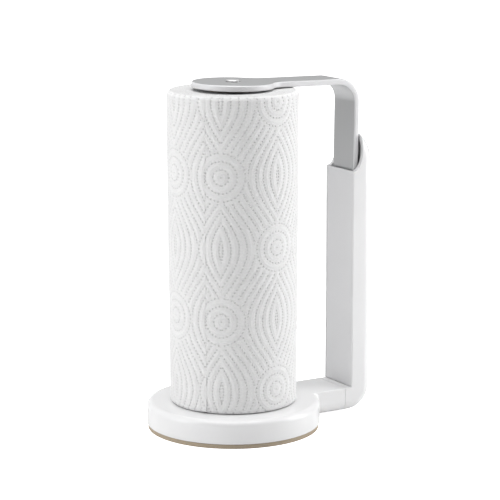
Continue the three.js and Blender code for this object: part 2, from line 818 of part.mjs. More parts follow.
function addArm() {
  add('arm_strap', fromSolid(armStrap()), satin_metal());
  const leg = new THREE.Group();
  leg.position.set(leg_x, 0, column_top);
  leg.rotation.y = arm_lean;
  holder.add(leg);
  add('slider_shoe', fromSolid(sliderShoe()), grey_plastic(), leg);
  rivetPlaces().forEach((y, i) => {
    const rivet = add(`shoe_rivet_${i + 1}`, closed(shoeRivet()), zinc_steel(), leg);
    rivet.position.set(0, y, rivet_z);
  });
  add('spring_hook_pin', closed(rodY(
    pin_radius, -hook_pin_half, hook_pin_half, pin_round, spring_offset, hook_local_z)), zinc_steel(), leg);
}

// ----------------------------------------------------------------- upper plug

// Cup-shaped plug under the disc that centres the roll's upper end.
function corePlug() {
  const top = -2 * gap - washer_thickness;
  const low_radius = hub_radius - hub_taper;
  return latheZ([
    [axle_radius + gap, top],
    [hub_radius - hub_chamfer, top],
    [hub_radius, top - hub_chamfer],
    [low_radius, -plug_height],
    [low_radius - plug_wall, -plug_height],
    [hub_radius - plug_wall, top - plug_floor],
    [axle_radius + gap, top - plug_floor],
    [axle_radius + gap, top],
  ], medium_round);
}

function plugAxle() {
  const shank_end = -2 * gap - washer_thickness - plug_floor - clip_reach;
  const profile = [[0, shank_end], [axle_radius, shank_end], [axle_radius, arm_thickness + gap]];
  profile.push([cap_radius, arm_thickness + gap]);
  for (let i = 0; i <= cap_steps; i += 1) {
    const angle = i * Math.PI / (2 * cap_steps);
    const rise = cap_rim + (cap_height - cap_rim) * Math.sin(angle);
    const radius = i === cap_steps ? 0 : cap_radius * Math.cos(angle);
    profile.push([radius, arm_thickness + gap + rise]);
  }
  return latheZ(profile, medium_round);
}

function addPlug() {
  const disc = new THREE.Group();
  disc.position.set(0, 0, disc_under);
  disc.rotation.y = arm_rise;
  holder.add(disc);
  const clip_top = -3 * gap - washer_thickness - plug_floor;
  add('plug_axle', closed(plugAxle()), polished_metal(), disc);
  add('plug_washer', closed(ring(
    axle_radius + gap, washer_radius, -gap - washer_thickness, -gap, medium_round)), grey_plastic(), disc);
  add('core_plug', closed(corePlug()), grey_plastic(), disc);
  add('axle_clip', closed(ring(
    axle_radius + gap, clip_radius, clip_top - clip_height, clip_top, bore_round)), zinc_steel(), disc);
}

// ---------------------------------------------------------- turntable and roll

// Flanged hub: the roll stands on the flange and the core slips over the cup.
function turntableHub() {
  const flange_top = hub_low + hub_flange_thickness;
  const top = base_top + hub_height;
  const upper = hub_radius - hub_taper;
  return latheZ([
    [axle_radius + gap, hub_low],
    [hub_flange_radius, hub_low],
    [hub_flange_radius, flange_top],
    [hub_radius, flange_top],
    [hub_radius, flange_top + hub_collar],
    [upper, top - hub_chamfer],
    [upper - hub_chamfer, top],
    [upper - plug_wall, top],
    [upper - plug_wall, hub_low + hub_floor],
    [axle_radius + gap, hub_low + hub_floor],
    [axle_radius + gap, hub_low],
  ], medium_round);
}

function hubAxle() {
  const head_low = hub_low + hub_floor + gap;
  return latheZ([
    [0, shell_ceiling - axle_reach],
    [axle_radius, shell_ceiling - axle_reach],
    [axle_radius, head_low],
    [axle_head_radius, head_low],
    [axle_head_radius, head_low + axle_head_edge],
    [axle_head_tip, head_low + axle_head_height],
    [0, head_low + axle_head_height],
  ], bore_round);
}

function axleNut() {
  const sides = 6;
  const nut = new THREE.CylinderGeometry(nut_radius, nut_radius, nut_height, sides);
  nut.rotateX(Math.PI / 2).translate(0, 0, shell_ceiling - gap - nut_height / 2);
  return solid(nut).subtract(solid(
    rodZ(axle_radius + gap, shell_ceiling - axle_reach - over, shell_ceiling, bore_round)));
}

// The roll widens slightly towards its top, where the wraps are looser.
function rollRadius(share) {
  return roll_radius_low + (roll_radius_high - roll_radius_low) * Math.sin(share * Math.PI / 2);
}

function paperRoll() {
  const inner = core_outer + gap;
  const profile = [[inner, roll_bottom], [roll_radius_low - roll_edge / 2, roll_bottom]];
  for (let i = 0; i <= roll_rings; i += 1) {
    const share = i / roll_rings;
    const low = roll_bottom + roll_edge / 2;
    profile.push([rollRadius(share), low + (roll_height - 1.5 * roll_edge) * share]);
  }
  const crown = roll_top - roll_edge;
  profile.push(...arcPoints(
    roll_radius_high - roll_edge, crown, roll_edge, Math.PI / 8, Math.PI / 2, 3));
  profile.push([inner, roll_top], [inner, roll_bottom]);
  return latheZ(profile, large_round);
}

function addRoll() {
  add('hub_axle', closed(hubAxle()), zinc_steel());
  add('axle_nut', fromSolid(axleNut()), zinc_steel());
  add('turntable_hub', closed(turntableHub()), grey_plastic());
  add('cardboard_core', closed(ring(
    core_inner, core_outer, roll_bottom, roll_top, medium_round)), core_board());
  add('paper_roll', closed(paperRoll()), paper_white());
}

addBase();
addBracket();
addHandle();
addArm();
addPlug();
addRoll();

export default holder;
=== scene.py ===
"""Builds the visible pieces, materials and stage of a paper towel holder around its CAD frame."""
import json
import math

import bmesh
import bpy
import numpy as np
from mathutils import Matrix, Vector


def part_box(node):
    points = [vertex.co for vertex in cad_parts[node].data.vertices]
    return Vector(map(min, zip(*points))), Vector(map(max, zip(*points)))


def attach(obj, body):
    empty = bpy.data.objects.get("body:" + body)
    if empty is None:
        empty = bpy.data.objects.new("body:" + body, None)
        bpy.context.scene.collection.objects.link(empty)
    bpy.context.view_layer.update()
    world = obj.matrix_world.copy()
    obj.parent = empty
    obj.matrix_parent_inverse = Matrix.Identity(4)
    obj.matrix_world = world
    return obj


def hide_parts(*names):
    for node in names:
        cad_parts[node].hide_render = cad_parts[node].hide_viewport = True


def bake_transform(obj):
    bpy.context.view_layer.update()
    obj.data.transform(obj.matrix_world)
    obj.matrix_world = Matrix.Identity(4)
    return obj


bl_info = {
    "name": "Paper Towel Holder",
    "version": (1, 0, 0),
    "blender": (4, 5, 0),
    "location": "View3D > Sidebar > Towel Holder",
    "description": "Builds a standing paper towel holder with a sprung arm and a loaded roll",
    "category": "Object",
}

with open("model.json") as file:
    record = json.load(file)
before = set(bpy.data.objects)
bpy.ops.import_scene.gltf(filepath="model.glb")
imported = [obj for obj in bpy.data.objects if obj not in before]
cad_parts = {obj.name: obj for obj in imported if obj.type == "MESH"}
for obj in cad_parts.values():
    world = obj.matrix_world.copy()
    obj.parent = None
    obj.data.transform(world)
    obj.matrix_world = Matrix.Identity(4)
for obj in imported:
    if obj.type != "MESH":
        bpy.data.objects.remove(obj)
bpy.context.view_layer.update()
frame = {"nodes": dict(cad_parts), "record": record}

MM = 0.001
TINY = 1e-6                          # points closer than this are one point
FULL_TURN = 2 * math.pi
QUARTER_TURN = math.pi / 2
BAR_STEPS = 4                        # along each side of a bar that leaves a disc
ROUND_STEPS = 220                    # round the base


def low(node):
    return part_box(node)[0]


def high(node):
    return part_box(node)[1]


# ---------------------------------------------------------------- properties


def length(name, description, default):
    return bpy.props.FloatProperty(
        name=name, description=description, default=default, min=0.0,
        unit="LENGTH", subtype="DISTANCE", precision=5)


def angle(name, description, degrees):
    return bpy.props.FloatProperty(
        name=name, description=description, default=math.radians(degrees),
        unit="ROTATION", subtype="ANGLE")


def colour(name, description, default):
    return bpy.props.FloatVectorProperty(
        name=name, description=description, default=default, size=3,
        min=0.0, max=1.0, subtype="COLOR")


class HolderSizes(bpy.types.PropertyGroup):
    """Sizes of the holder and its roll"""

    base_radius: length("Base radius", "Radius of the round base", high("base_shell").y)
    base_top: length("Base top", "Height of the top face of base and neck", high("base_shell").z)
    base_low: length("Base bottom", "Height of the base's lower rim", low("bottom_cover").z)
    base_round: length("Base rounding", "Rounding of the base's top edge", 5 * MM)
    wall: length("Wall", "Wall thickness of the plastic shells", 2.5 * MM)
    neck_fillet: length("Neck fillet", "Inner rounding where the neck leaves the base", 4.5 * MM)
    soft_edge: length("Soft edge", "Rounding of the handle's front edges", 0.9 * MM)
    handle_front: length("Handle front", "Distance of the handle's front from the axis",
                         low("column_cover").x)
    handle_half: length("Handle half width", "Half the handle's width", high("column_shell").y)
    handle_rear: length("Handle rear", "Distance of the handle's back from the axis",
                        high("column_shell").x)
    handle_corner: length("Handle corner", "Rounding of the handle's rear corners", 9 * MM)
    column_top: length("Column top", "Height of the front cover's top", high("column_cover").z)
    horn_radius: length("Horn radius", "Outer radius of the horn behind the arm", 26 * MM)
    horn_start: length("Horn start", "Height above the cover where the horn starts", 9.8 * MM)
    scoop_depth: length("Scoop depth", "How deep the side scoop cuts in", 9.4 * MM)
    scoop_height: length("Scoop height", "Height of the side scoop", 31.2 * MM)
    arm_half: length("Arm half width", "Half the strap's width", 16 * MM)
    arm_thickness: length("Arm thickness", "Thickness of the strap", 5.2 * MM)
    arm_edge: length("Arm edge", "Rounding of the strap's edges", 1.6 * MM)
    arm_bend: length("Arm bend", "Inner radius of the strap's bend", 15.5 * MM)
    arm_setback: length("Arm setback", "From the handle's front to the strap", 3.2 * MM)
    arm_insertion: length("Arm insertion", "How far the strap reaches into the column", 79 * MM)
    arm_lean: angle("Arm lean", "Lean of the strap's upright part", 0.8)
    arm_rise: angle("Arm rise", "Slope of the strap's upper part", 1.2)
    disc_radius: length("Disc radius", "Radius of the clamping disc", 34 * MM)
    disc_fillet: length("Disc fillet", "Inner rounding where the strap meets the disc", 14 * MM)
    roll_low: length("Roll lower radius", "Radius of the roll at its foot", 52.7 * MM)
    roll_high: length("Roll upper radius", "Radius of the roll near its top", high("paper_roll").y)
    roll_foot: length("Roll foot", "Height of the roll's lower end", low("paper_roll").z)
    roll_top: length("Roll top", "Height of the roll's upper end", high("paper_roll").z)
    core_radius: length("Core radius", "Outer radius of the board tube", high("cardboard_core").y)


class HolderFinish(bpy.types.PropertyGroup):
    """Colours of the holder, its roll and the floor"""

    shell: colour("Shell", "White of the glossy shells", (0.87, 0.87, 0.875))
    cover: colour("Front cover", "White of the column's front cover", (0.8, 0.8, 0.81))
    metal: colour("Strap metal", "Grey of the satin strap", (0.56, 0.565, 0.57))
    # painted highlight: the strap's side faces get this lighter colour to stand in for the light
    # they catch
    edge: colour("Strap edge", "Lighter tone of the strap's edges", (0.8, 0.8, 0.81))
    polished: colour("Cap metal", "Colour of the polished cap", (0.9, 0.9, 0.9))
    rubber: colour("Pad", "Tan of the anti-slip pad", (0.46, 0.38, 0.28))
    paper: colour("Paper", "White of the towel", (0.87, 0.87, 0.87))
    board: colour("Board", "Brown of the roll's tube", (0.42, 0.3, 0.19))
    grey: colour("Inner plastic", "Grey of the inner mouldings", (0.46, 0.47, 0.48))
    zinc: colour("Hardware", "Grey of the plated hardware", (0.55, 0.57, 0.6))
    ballast: colour("Ballast", "Dark grey of the cast ballast", (0.12, 0.12, 0.13))
    floor: colour("Floor", "Colour of the floor", (0.88, 0.88, 0.88))


def sizes():
    return bpy.context.scene.holder_sizes


def finishes():
    return bpy.context.scene.holder_finish


# ------------------------------------------------------------ modelling tools


def deselect():
    if bpy.context.mode != "OBJECT":
        bpy.ops.object.mode_set(mode="OBJECT")
    bpy.ops.object.select_all(action="DESELECT")


def activate(piece):
    deselect()
    piece.select_set(True)
    bpy.context.view_layer.objects.active = piece


def named(name):
    """Name the primitive that was just added."""
    piece = bpy.context.active_object
    piece.name = name
    piece.data.name = name
    return piece


def edit(piece, kind="FACE"):
    activate(piece)
    bpy.ops.object.mode_set(mode="EDIT")
    bpy.ops.mesh.select_mode(type=kind)
    bpy.ops.mesh.select_all(action="DESELECT")
    return bmesh.from_edit_mesh(piece.data)


def leave_edit():
    bpy.ops.object.mode_set(mode="OBJECT")


def clean(piece):
    """Merge doubles and turn the faces outwards."""
    edit(piece, "VERT")
    bpy.ops.mesh.select_all(action="SELECT")
    bpy.ops.mesh.remove_doubles(threshold=TINY)
    bpy.ops.mesh.normals_make_consistent(inside=False)
    leave_edit()


def apply_modifier(piece, modifier):
    activate(piece)
    bpy.ops.object.modifier_apply(modifier=modifier.name)


def combine(piece, tool, operation="DIFFERENCE"):
    """Cut the tool out of the piece, or join the two solids."""
    modifier = piece.modifiers.new("Combine", "BOOLEAN")
    modifier.operation = operation
    modifier.solver = "EXACT"
    modifier.object = tool
    apply_modifier(piece, modifier)
    bpy.data.objects.remove(tool, do_unlink=True)


def pick(piece, kind, test):
    """Enter edit mode and select the vertices, edges or faces that pass the test."""
    mesh = edit(piece, kind)
    items = {"VERT": mesh.verts, "EDGE": mesh.edges, "FACE": mesh.faces}[kind]
    items.index_update()
    for item in items:
        if test(item):
            item.select_set(True)
    bmesh.update_edit_mesh(piece.data)


def bevel_edges(piece, test, width, segments):
    """Round the edges that the test picks."""
    pick(piece, "EDGE", test)
    bpy.ops.mesh.bevel(offset=width, segments=segments, profile=0.5, affect="EDGES",
                       clamp_overlap=True)
    leave_edit()


def smooth(piece, degrees=34):
    """Smooth shading with true flats: large faces keep their own direction."""
    activate(piece)
    bpy.ops.object.shade_smooth_by_angle(angle=math.radians(degrees))
    modifier = piece.modifiers.new("Flats", "WEIGHTED_NORMAL")
    modifier.keep_sharp = True
    apply_modifier(piece, modifier)


def loft(name, rings):
    """Draw the first ring as a filled circle, then extrude its face to each ring in turn."""
    deselect()
    bpy.ops.mesh.primitive_circle_add(vertices=len(rings[0]), radius=MM, fill_type="NGON")
    piece = named(name)
    mesh = edit(piece)
    bpy.ops.mesh.select_all(action="SELECT")
    order = mesh.verts.layers.int.new("order")
    mesh.verts.ensure_lookup_table()
    for place, point in enumerate(rings[0]):
        mesh.verts[place][order] = place
        mesh.verts[place].co = point
    bmesh.update_edit_mesh(piece.data)
    for ring in rings[1:]:
        bpy.ops.mesh.extrude_region_move()
        mesh = bmesh.from_edit_mesh(piece.data)
        order = mesh.verts.layers.int["order"]
        for vert in mesh.verts:
            if vert.select:
                vert.co = ring[vert[order]]
        bmesh.update_edit_mesh(piece.data)
    leave_edit()
    piece.data.attributes.remove(piece.data.attributes["order"])
    clean(piece)
    return piece


def turned(name, profile, steps=96):
    """Draw a profile of radius and height by extruding a vertex, and spin it round the axis."""
    deselect()
    bpy.ops.mesh.primitive_plane_add(size=MM)
    piece = named(name)
    pick(piece, "VERT", lambda vert: vert.index > 0)
    bpy.ops.mesh.delete(type="VERT")
    mesh = bmesh.from_edit_mesh(piece.data)
    mesh.verts.ensure_lookup_table()
    start = mesh.verts[0]
    start.co = (profile[0][0], 0, profile[0][1])
    start.select_set(True)
    bmesh.update_edit_mesh(piece.data)
    for before, after in zip(profile, profile[1:]):
        step = (after[0] - before[0], 0, after[1] - before[1])
        bpy.ops.mesh.extrude_region_move(TRANSFORM_OT_translate={"value": step})
    bpy.ops.mesh.select_all(action="SELECT")
    bpy.ops.mesh.spin(steps=steps, angle=FULL_TURN, center=(0, 0, 0), axis=(0, 0, 1))
    leave_edit()
    clean(piece)
    return piece


def block(name, x, y, z):
    """A block between pairs of x, y and z, used as a cutter or as a start."""
    deselect()
    bpy.ops.mesh.primitive_cube_add(size=1)
    piece = named(name)
    centre = Vector(((x[0] + x[1]) / 2, (y[0] + y[1]) / 2, (z[0] + z[1]) / 2))
    scale = Vector((x[1] - x[0], y[1] - y[0], z[1] - z[0]))
    piece.data.transform(Matrix.Translation(centre) @ Matrix.Diagonal((*scale, 1)))
    return piece


def rod(name, radius, start, end, steps=32):
    """A plain rod between two points, used as a cutter or as a start."""
    start, end = Vector(start), Vector(end)
    deselect()
    bpy.ops.mesh.primitive_cylinder_add(vertices=steps, radius=radius,
                                        depth=(end - start).length)
    piece = named(name)
    turn = (end - start).to_track_quat("Z", "Y").to_matrix().to_4x4()
    piece.data.transform(Matrix.Translation((start + end) / 2) @ turn)
    return piece


def arc(centre, radius, start, end, steps):
    """Points on an arc in a plane, both ends included."""
    points = []
    for i in range(steps + 1):
        a = start + (end - start) * i / steps
        points.append((centre[0] + radius * math.cos(a), centre[1] + radius * math.sin(a)))
    return points


def between(start, end, steps):
    """Evenly spaced values, the end left out."""
    return [start + (end - start) * i / steps for i in range(steps)]


def disc_with_bar(z, radius, half, fillet, end, fillet_steps, disc_steps):
    """A disc and a bar joined by fillets, from one corner of the bar's end to the other."""
    turn_y = half + fillet
    turn_x = math.sqrt((radius + fillet) ** 2 - turn_y ** 2)
    meet = math.atan2(turn_y, turn_x)
    points = [(x, -half) for x in between(end, turn_x, BAR_STEPS)]
    points += arc((turn_x, -turn_y), fillet, QUARTER_TURN, math.pi - meet, fillet_steps)
    points += arc((0, 0), radius, FULL_TURN - meet, meet, disc_steps)[1:-1]
    points += arc((turn_x, turn_y), fillet, math.pi + meet, 1.5 * math.pi, fillet_steps)
    points += [(x, half) for x in between(end, turn_x, BAR_STEPS)[::-1]]
    return [Vector((x, y, z)) for x, y in points]


def add_look(piece, look):
    """Give a piece one more material; the look is the function that makes it."""
    piece.data.materials.append(known(bpy.data.materials, look))


def paint(piece, look):
    """Make a look the piece's only material."""
    piece.data.materials.clear()
    add_look(piece, look)


def finish_piece(piece, look, body, node):
    """Paint a piece, let it ride on its body, and put it in its CAD node's place."""
    paint(piece, look)
    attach(piece, body)
    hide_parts(node)


# ------------------------------------------------------------- shader tools

COAT_ROUGHNESS = 0.05
DUST = 0.15                          # strength of the veil on moulded pieces


class Signal:
    """A value in a node tree; arithmetic on signals adds Math nodes."""

    def __init__(self, tree, source):
        self.tree = tree
        self.source = source

    def math(self, operation, *others):
        node = self.tree.nodes.new("ShaderNodeMath")
        node.operation = operation
        for socket, value in zip(node.inputs, (self, *others)):
            if isinstance(value, Signal):
                self.tree.links.new(value.source, socket)
            else:
                socket.default_value = value
        return Signal(self.tree, node.outputs[0])

    def __add__(self, other):
        return self.math("ADD", other)

    def __sub__(self, other):
        return self.math("SUBTRACT", other)

    def __mul__(self, other):
        return self.math("MULTIPLY", other)

    def __truediv__(self, other):
        return self.math("DIVIDE", other)

    def wrapped(self, period):
        """The value minus the nearest multiple of the period."""
        return self - (self / period).math("ROUND") * period

    def into(self, socket):
        self.tree.links.new(self.source, socket)


def known(kept, make):
    """What a function makes, kept under the function's own name and made only once."""
    name = make.__name__.replace("_", " ").capitalize()
    return kept.get(name) or make(name)


def new_group(name, inputs, outputs):
    """A shader node group with named number inputs and outputs."""
    group = bpy.data.node_groups.new(name, "ShaderNodeTree")
    for label, default in inputs:
        socket = group.interface.new_socket(label, in_out="INPUT", socket_type="NodeSocketFloat")
        socket.default_value = default
    for label in outputs:
        group.interface.new_socket(label, in_out="OUTPUT", socket_type="NodeSocketFloat")
    entry = group.nodes.new("NodeGroupInput")
    leave = group.nodes.new("NodeGroupOutput")
    signals = {label: Signal(group, entry.outputs[label]) for label, _ in inputs}
    return group, signals, leave.inputs


def object_position(tree):
    return tree.nodes.new("ShaderNodeTexCoord").outputs["Object"]


def split(tree, vector):
    """The three parts of a vector as signals."""
    node = tree.nodes.new("ShaderNodeSeparateXYZ")
    tree.links.new(vector, node.inputs[0])
    return [Signal(tree, socket) for socket in node.outputs]


def stretched(tree, vector, scale):
    """The vector with each of its parts scaled."""
    node = tree.nodes.new("ShaderNodeMapping")
    tree.links.new(vector, node.inputs["Vector"])
    node.inputs["Scale"].default_value = scale
    return node.outputs["Vector"]


def noise(tree, vector, scale, detail=3.0, roughness=0.5):
    """A noise pattern's value, about 0.5 on average."""
    node = tree.nodes.new("ShaderNodeTexNoise")
    node.inputs["Detail"].default_value = detail
    node.inputs["Roughness"].default_value = roughness
    tree.links.new(vector, node.inputs["Vector"])
    if isinstance(scale, Signal):
        scale.into(node.inputs["Scale"])
    else:
        node.inputs["Scale"].default_value = scale
    return Signal(tree, node.outputs["Fac"])


def fine_grain(name):
    """Moulded or cast grain: a fine relief and a slow change of tone, by Object position."""
    inputs = (("Grain scale", 900.0), ("Tone scale", 18.0), ("Relief", 1e-5))
    group, given, outputs = new_group(name, inputs, ("Tone", "Height", "Speckle"))
    place = object_position(group)
    fine = noise(group, place, given["Grain scale"], 2.0)
    slow = noise(group, place, given["Tone scale"], 4.0, 0.6)
    slow.into(outputs["Tone"])
    ((fine - 0.5) * given["Relief"]).into(outputs["Height"])
    fine.into(outputs["Speckle"])
    return group


def brushed_lines(name):
    """Brushing that runs along the strap: fine lines across its width."""
    group, given, outputs = new_group(name, (("Relief", 4e-6),), ("Lines", "Height"))
    place = object_position(group)
    lines = noise(group, stretched(group, place, (14.0, 5200.0, 14.0)), 1.0, 3.0, 0.6)
    bands = noise(group, stretched(group, place, (3.0, 600.0, 3.0)), 1.0, 2.0, 0.5)
    both = lines * 0.65 + bands * 0.35
    both.into(outputs["Lines"])
    ((both - 0.5) * given["Relief"]).into(outputs["Height"])
    return group


def settled_dust(name):
    """A thin veil on faces that look up, broken up by noise."""
    group, given, outputs = new_group(name, (("Amount", 0.5),), ("Veil",))
    facing = group.nodes.new("ShaderNodeNewGeometry").outputs["Normal"]
    up = split(group, facing)[2].math("MAXIMUM", 0.0)
    broken = noise(group, object_position(group), 60.0, 5.0, 0.65)
    (up.math("POWER", 3.0) * broken * given["Amount"]).into(outputs["Veil"])
    return group


def place_group(tree, make, **values):
    """Put a group in a material with its own values; returns its outputs as signals."""
    node = tree.nodes.new("ShaderNodeGroup")
    node.node_tree = known(bpy.data.node_groups, make)
    for label, value in values.items():
        node.inputs[label.replace("_", " ")].default_value = value
    return {socket.name: Signal(tree, socket) for socket in node.outputs}


def new_material(name, tint, roughness, metallic=0.0, coat=0.0):
    """A material with its Principled shader; uniform values sit on the shader itself."""
    material = bpy.data.materials.new(name)
    material.use_nodes = True
    material.diffuse_color = (*tint, 1.0)
    shader = material.node_tree.nodes["Principled BSDF"]
    shader.inputs["Base Color"].default_value = (*tint, 1.0)
    shader.inputs["Roughness"].default_value = roughness
    shader.inputs["Metallic"].default_value = metallic
    shader.inputs["Coat Weight"].default_value = coat
    shader.inputs["Coat Roughness"].default_value = COAT_ROUGHNESS
    return material, material.node_tree, shader


def tint_between(tree, share, dark, light, socket):
    """Colour that goes from dark to light with the share."""
    node = tree.nodes.new("ShaderNodeMix")
    node.data_type = "RGBA"
    share.into(node.inputs["Factor"])
    node.inputs[6].default_value = (*dark, 1.0)
    node.inputs[7].default_value = (*light, 1.0)
    tree.links.new(node.outputs[2], socket)


def shaded(tint, share):
    """A tint made darker or lighter."""
    return tuple(min(1.0, part * share) for part in tint)


def relief(tree, height, shader):
    """Feed a height in metres to the shader's normal."""
    node = tree.nodes.new("ShaderNodeBump")
    node.inputs["Distance"].default_value = 1.0
    height.into(node.inputs["Height"])
    tree.links.new(node.outputs["Normal"], shader.inputs["Normal"])


def dress(look, tone, shades, rough, height):
    """Wire a look: colour between two shades of its tint by tone, roughness, and relief."""
    material, tree, shader = look
    tint = shader.inputs["Base Color"].default_value[:3]
    dark, light = (shaded(tint, share) for share in shades)
    tint_between(tree, tone, dark, light, shader.inputs["Base Color"])
    rough.into(shader.inputs["Roughness"])
    relief(tree, height, shader)
    return material


def moulded(name, tint, roughness, spread, relief_height, grain_scale, coat=0.0):
    """Moulded plastic: fine grain, a slow change of tone and a little dust."""
    look = new_material(name, tint, roughness, coat=coat)
    grain = place_group(look[1], fine_grain, Grain_scale=grain_scale, Relief=relief_height)
    veil = place_group(look[1], settled_dust, Amount=DUST)["Veil"]
    rough = grain["Tone"] * spread + (roughness - spread / 2) + veil * (spread * 2)
    return dress(look, grain["Tone"], (0.975, 1.02), rough, grain["Height"])


def gloss_shell(name):
    return moulded(name, finishes().shell, 0.24, 0.07, 5e-6, 500.0, coat=0.25)


def front_cover_plastic(name):
    return moulded(name, finishes().cover, 0.38, 0.08, 7e-6, 700.0)


def inner_plastic(name):
    return moulded(name, finishes().grey, 0.5, 0.12, 2e-5, 900.0)


def metal(name, tint, roughness, spread, line_relief):
    """Brushed or polished metal with fine lines along the arm."""
    look = new_material(name, tint, roughness, metallic=1.0)
    brushed = place_group(look[1], brushed_lines, Relief=line_relief)
    grain = place_group(look[1], fine_grain, Grain_scale=2400.0, Relief=0.0)
    tone = brushed["Lines"] * 0.7 + grain["Tone"] * 0.3
    rough = tone * spread + (roughness - spread / 2)
    return dress(look, tone, (0.9, 1.1), rough, brushed["Height"])


def satin_strap_metal(name):
    return metal(name, finishes().metal, 0.42, 0.1, 3e-6)


def polished_cap_metal(name):
    return metal(name, finishes().polished, 0.3, 0.06, 1e-6)


def zinc_plate(name):
    return metal(name, finishes().zinc, 0.42, 0.2, 4e-6)


def strap_edge(name):
    """The strap's side faces, painted lighter than its satin faces as a painted highlight."""
    look = new_material(name, finishes().edge, 0.48, metallic=0.1)
    grain = place_group(look[1], fine_grain, Grain_scale=900.0, Tone_scale=30.0, Relief=2e-6)
    return dress(look, grain["Tone"], (0.97, 1.03), grain["Tone"] * 0.1 + 0.43, grain["Height"])


def cast_ballast(name):
    look = new_material(name, finishes().ballast, 0.7, metallic=0.6)
    grain = place_group(look[1], fine_grain, Grain_scale=1300.0, Relief=1.2e-4)
    speckle = grain["Speckle"]
    return dress(look, speckle, (0.6, 1.6), speckle * 0.3 + 0.55, grain["Height"])


def pad_rubber(name):
    look = new_material(name, finishes().rubber, 0.8)
    grain = place_group(look[1], fine_grain, Grain_scale=1100.0, Tone_scale=60.0, Relief=6e-5)
    tone = grain["Speckle"] * 0.6 + grain["Tone"] * 0.4
    return dress(look, tone, (0.8, 1.2), tone * 0.2 + 0.68, grain["Height"])


# ------------------------------------------------------------- towel pattern

LINE_GAP = 6.55          # between neighbouring dotted lines, in mm
COLUMN_GAP = 48.6        # between neighbouring columns of motifs
MOTIF_GAP = 59.2         # half the pattern's height
SWING = 13.0             # how far the lines swing to each side
LINE_SHIFT = 11.47       # places the first line beside its column
RING_ROOM = 21.8         # radius of the ringed motifs
RING_DOTS = 13           # dots on the first ring; the next has twice as many
DOT_GAP = 2.5            # between dots, measured along the height
DOT_RADIUS = 0.55
DOT_REACH = 1.6          # dot radii from a dot's middle to its faded edge
CREST_WIDTH = 0.9        # from a puffed band's crest to where its bump and painted highlight end
PUFF = 0.42 * MM         # height of the puffed bands between the lines


def pattern_fields(across, height):
    """A point's place among the dotted lines and among the rings, counted in line gaps, and
    how much it belongs to a ringed motif, from numpy arrays in mm."""
    w = np.abs((across + COLUMN_GAP) % (2 * COLUMN_GAP) - COLUMN_GAP)
    swing = SWING * np.cos(np.pi * height / MOTIF_GAP)
    lines = (w - swing + LINE_SHIFT) / LINE_GAP
    even = np.hypot(w, height % (2 * MOTIF_GAP) - MOTIF_GAP)
    odd = np.hypot(COLUMN_GAP - w, (height + MOTIF_GAP) % (2 * MOTIF_GAP) - MOTIF_GAP)
    ring = np.minimum(even, odd)
    inside = np.clip((RING_ROOM + 1 - ring) / 2, 0, 1)
    return lines, ring / LINE_GAP, inside


def puffs(across, height):
    """Height of the puffed bands, from 0 on the dotted lines to 1 between them."""
    lines, rings, inside = pattern_fields(across, height)
    on_lines = np.abs(np.sin(np.pi * lines)) ** 0.7
    on_rings = np.abs(np.sin(np.pi * rings)) ** 0.7
    return on_lines * (1 - inside) + on_rings * inside


def pressed_dots(name):
    """The towel's pressed dots and puffed crests, read from its own UV map in metres."""
    group, given, outputs = new_group(name, (("Dot radius", DOT_RADIUS),), ("Dots", "Ridge"))
    place = group.nodes.new("ShaderNodeUVMap")
    place.uv_map = "towel"
    across, height = (part * (1 / MM) for part in split(group, place.outputs["UV"])[:2])
    w = across.wrapped(2 * COLUMN_GAP).math("ABSOLUTE")
    phase = height * (math.pi / MOTIF_GAP)
    offset = (w - phase.math("COSINE") * SWING + LINE_SHIFT).wrapped(LINE_GAP)
    slope = phase.math("SINE") * (-SWING * math.pi / MOTIF_GAP)
    along = height.wrapped(DOT_GAP)
    beside = offset + slope * along
    line_distance = (beside * beside + along * along).math("SQRT")

    even_rise = (height - MOTIF_GAP).wrapped(2 * MOTIF_GAP)
    odd_rise = height.wrapped(2 * MOTIF_GAP)
    far = w * -1.0 + COLUMN_GAP
    even = (w * w + even_rise * even_rise).math("SQRT")
    odd = (far * far + odd_rise * odd_rise).math("SQRT")
    use_odd = odd.math("LESS_THAN", even)
    reach = even.math("MINIMUM", odd)
    sideways = w + (far - w) * use_odd
    upward = even_rise + (odd_rise - even_rise) * use_odd
    number = (reach / LINE_GAP).math("ROUND")
    from_ring = reach - number * LINE_GAP
    bearing = upward.math("ARCTAN2", sideways)
    step = (number * RING_DOTS).math("MAXIMUM", 0.5).math("POWER", -1.0) * FULL_TURN
    turn = bearing - (bearing / step).math("ROUND") * step
    arc_along = turn * reach
    ring_distance = (from_ring * from_ring + arc_along * arc_along).math("SQRT")
    in_ring = reach.math("LESS_THAN", RING_ROOM)
    distance = line_distance + (ring_distance - line_distance) * in_ring
    from_line = offset.math("ABSOLUTE")
    valley = from_line + (from_ring.math("ABSOLUTE") - from_line) * in_ring
    dots = (distance / given["Dot radius"] * -1.0 + DOT_REACH).math("MAXIMUM", 0.0)
    dots = dots.math("MINIMUM", 1.0)
    dots.into(outputs["Dots"])
    crest = (valley - LINE_GAP / 2).math("ABSOLUTE")
    (crest / -CREST_WIDTH + 1.0).math("MAXIMUM", 0.0).into(outputs["Ridge"])
    return group


def towel_paper(name):
    """Embossed, creped tissue with its pressed dots; the dots are darkened as painted shade and
    the crests lightened as a painted highlight.
    """
    look = new_material(name, finishes().paper, 0.92)
    tree = look[1]
    pressed = place_group(tree, pressed_dots)
    fibre = place_group(tree, fine_grain, Grain_scale=1500.0, Tone_scale=90.0, Relief=2.4e-4)
    crepe = noise(tree, stretched(tree, object_position(tree), (420.0, 420.0, 900.0)), 1.0)
    tone = fibre["Tone"] * 0.3 + crepe * 0.5 + fibre["Speckle"] * 0.2
    # painted shade: the pressed dots are darkened; painted highlight: the puffed crests are
    # lightened
    shade = tone + 0.12 - pressed["Dots"] * 0.4 + pressed["Ridge"] * 0.06
    height = pressed["Dots"] * -6e-4 + pressed["Ridge"] * 1.5e-4 + fibre["Height"]
    return dress(look, shade, (0.8, 1.09), tone * 0.1 + 0.86, height + crepe * 4e-4)


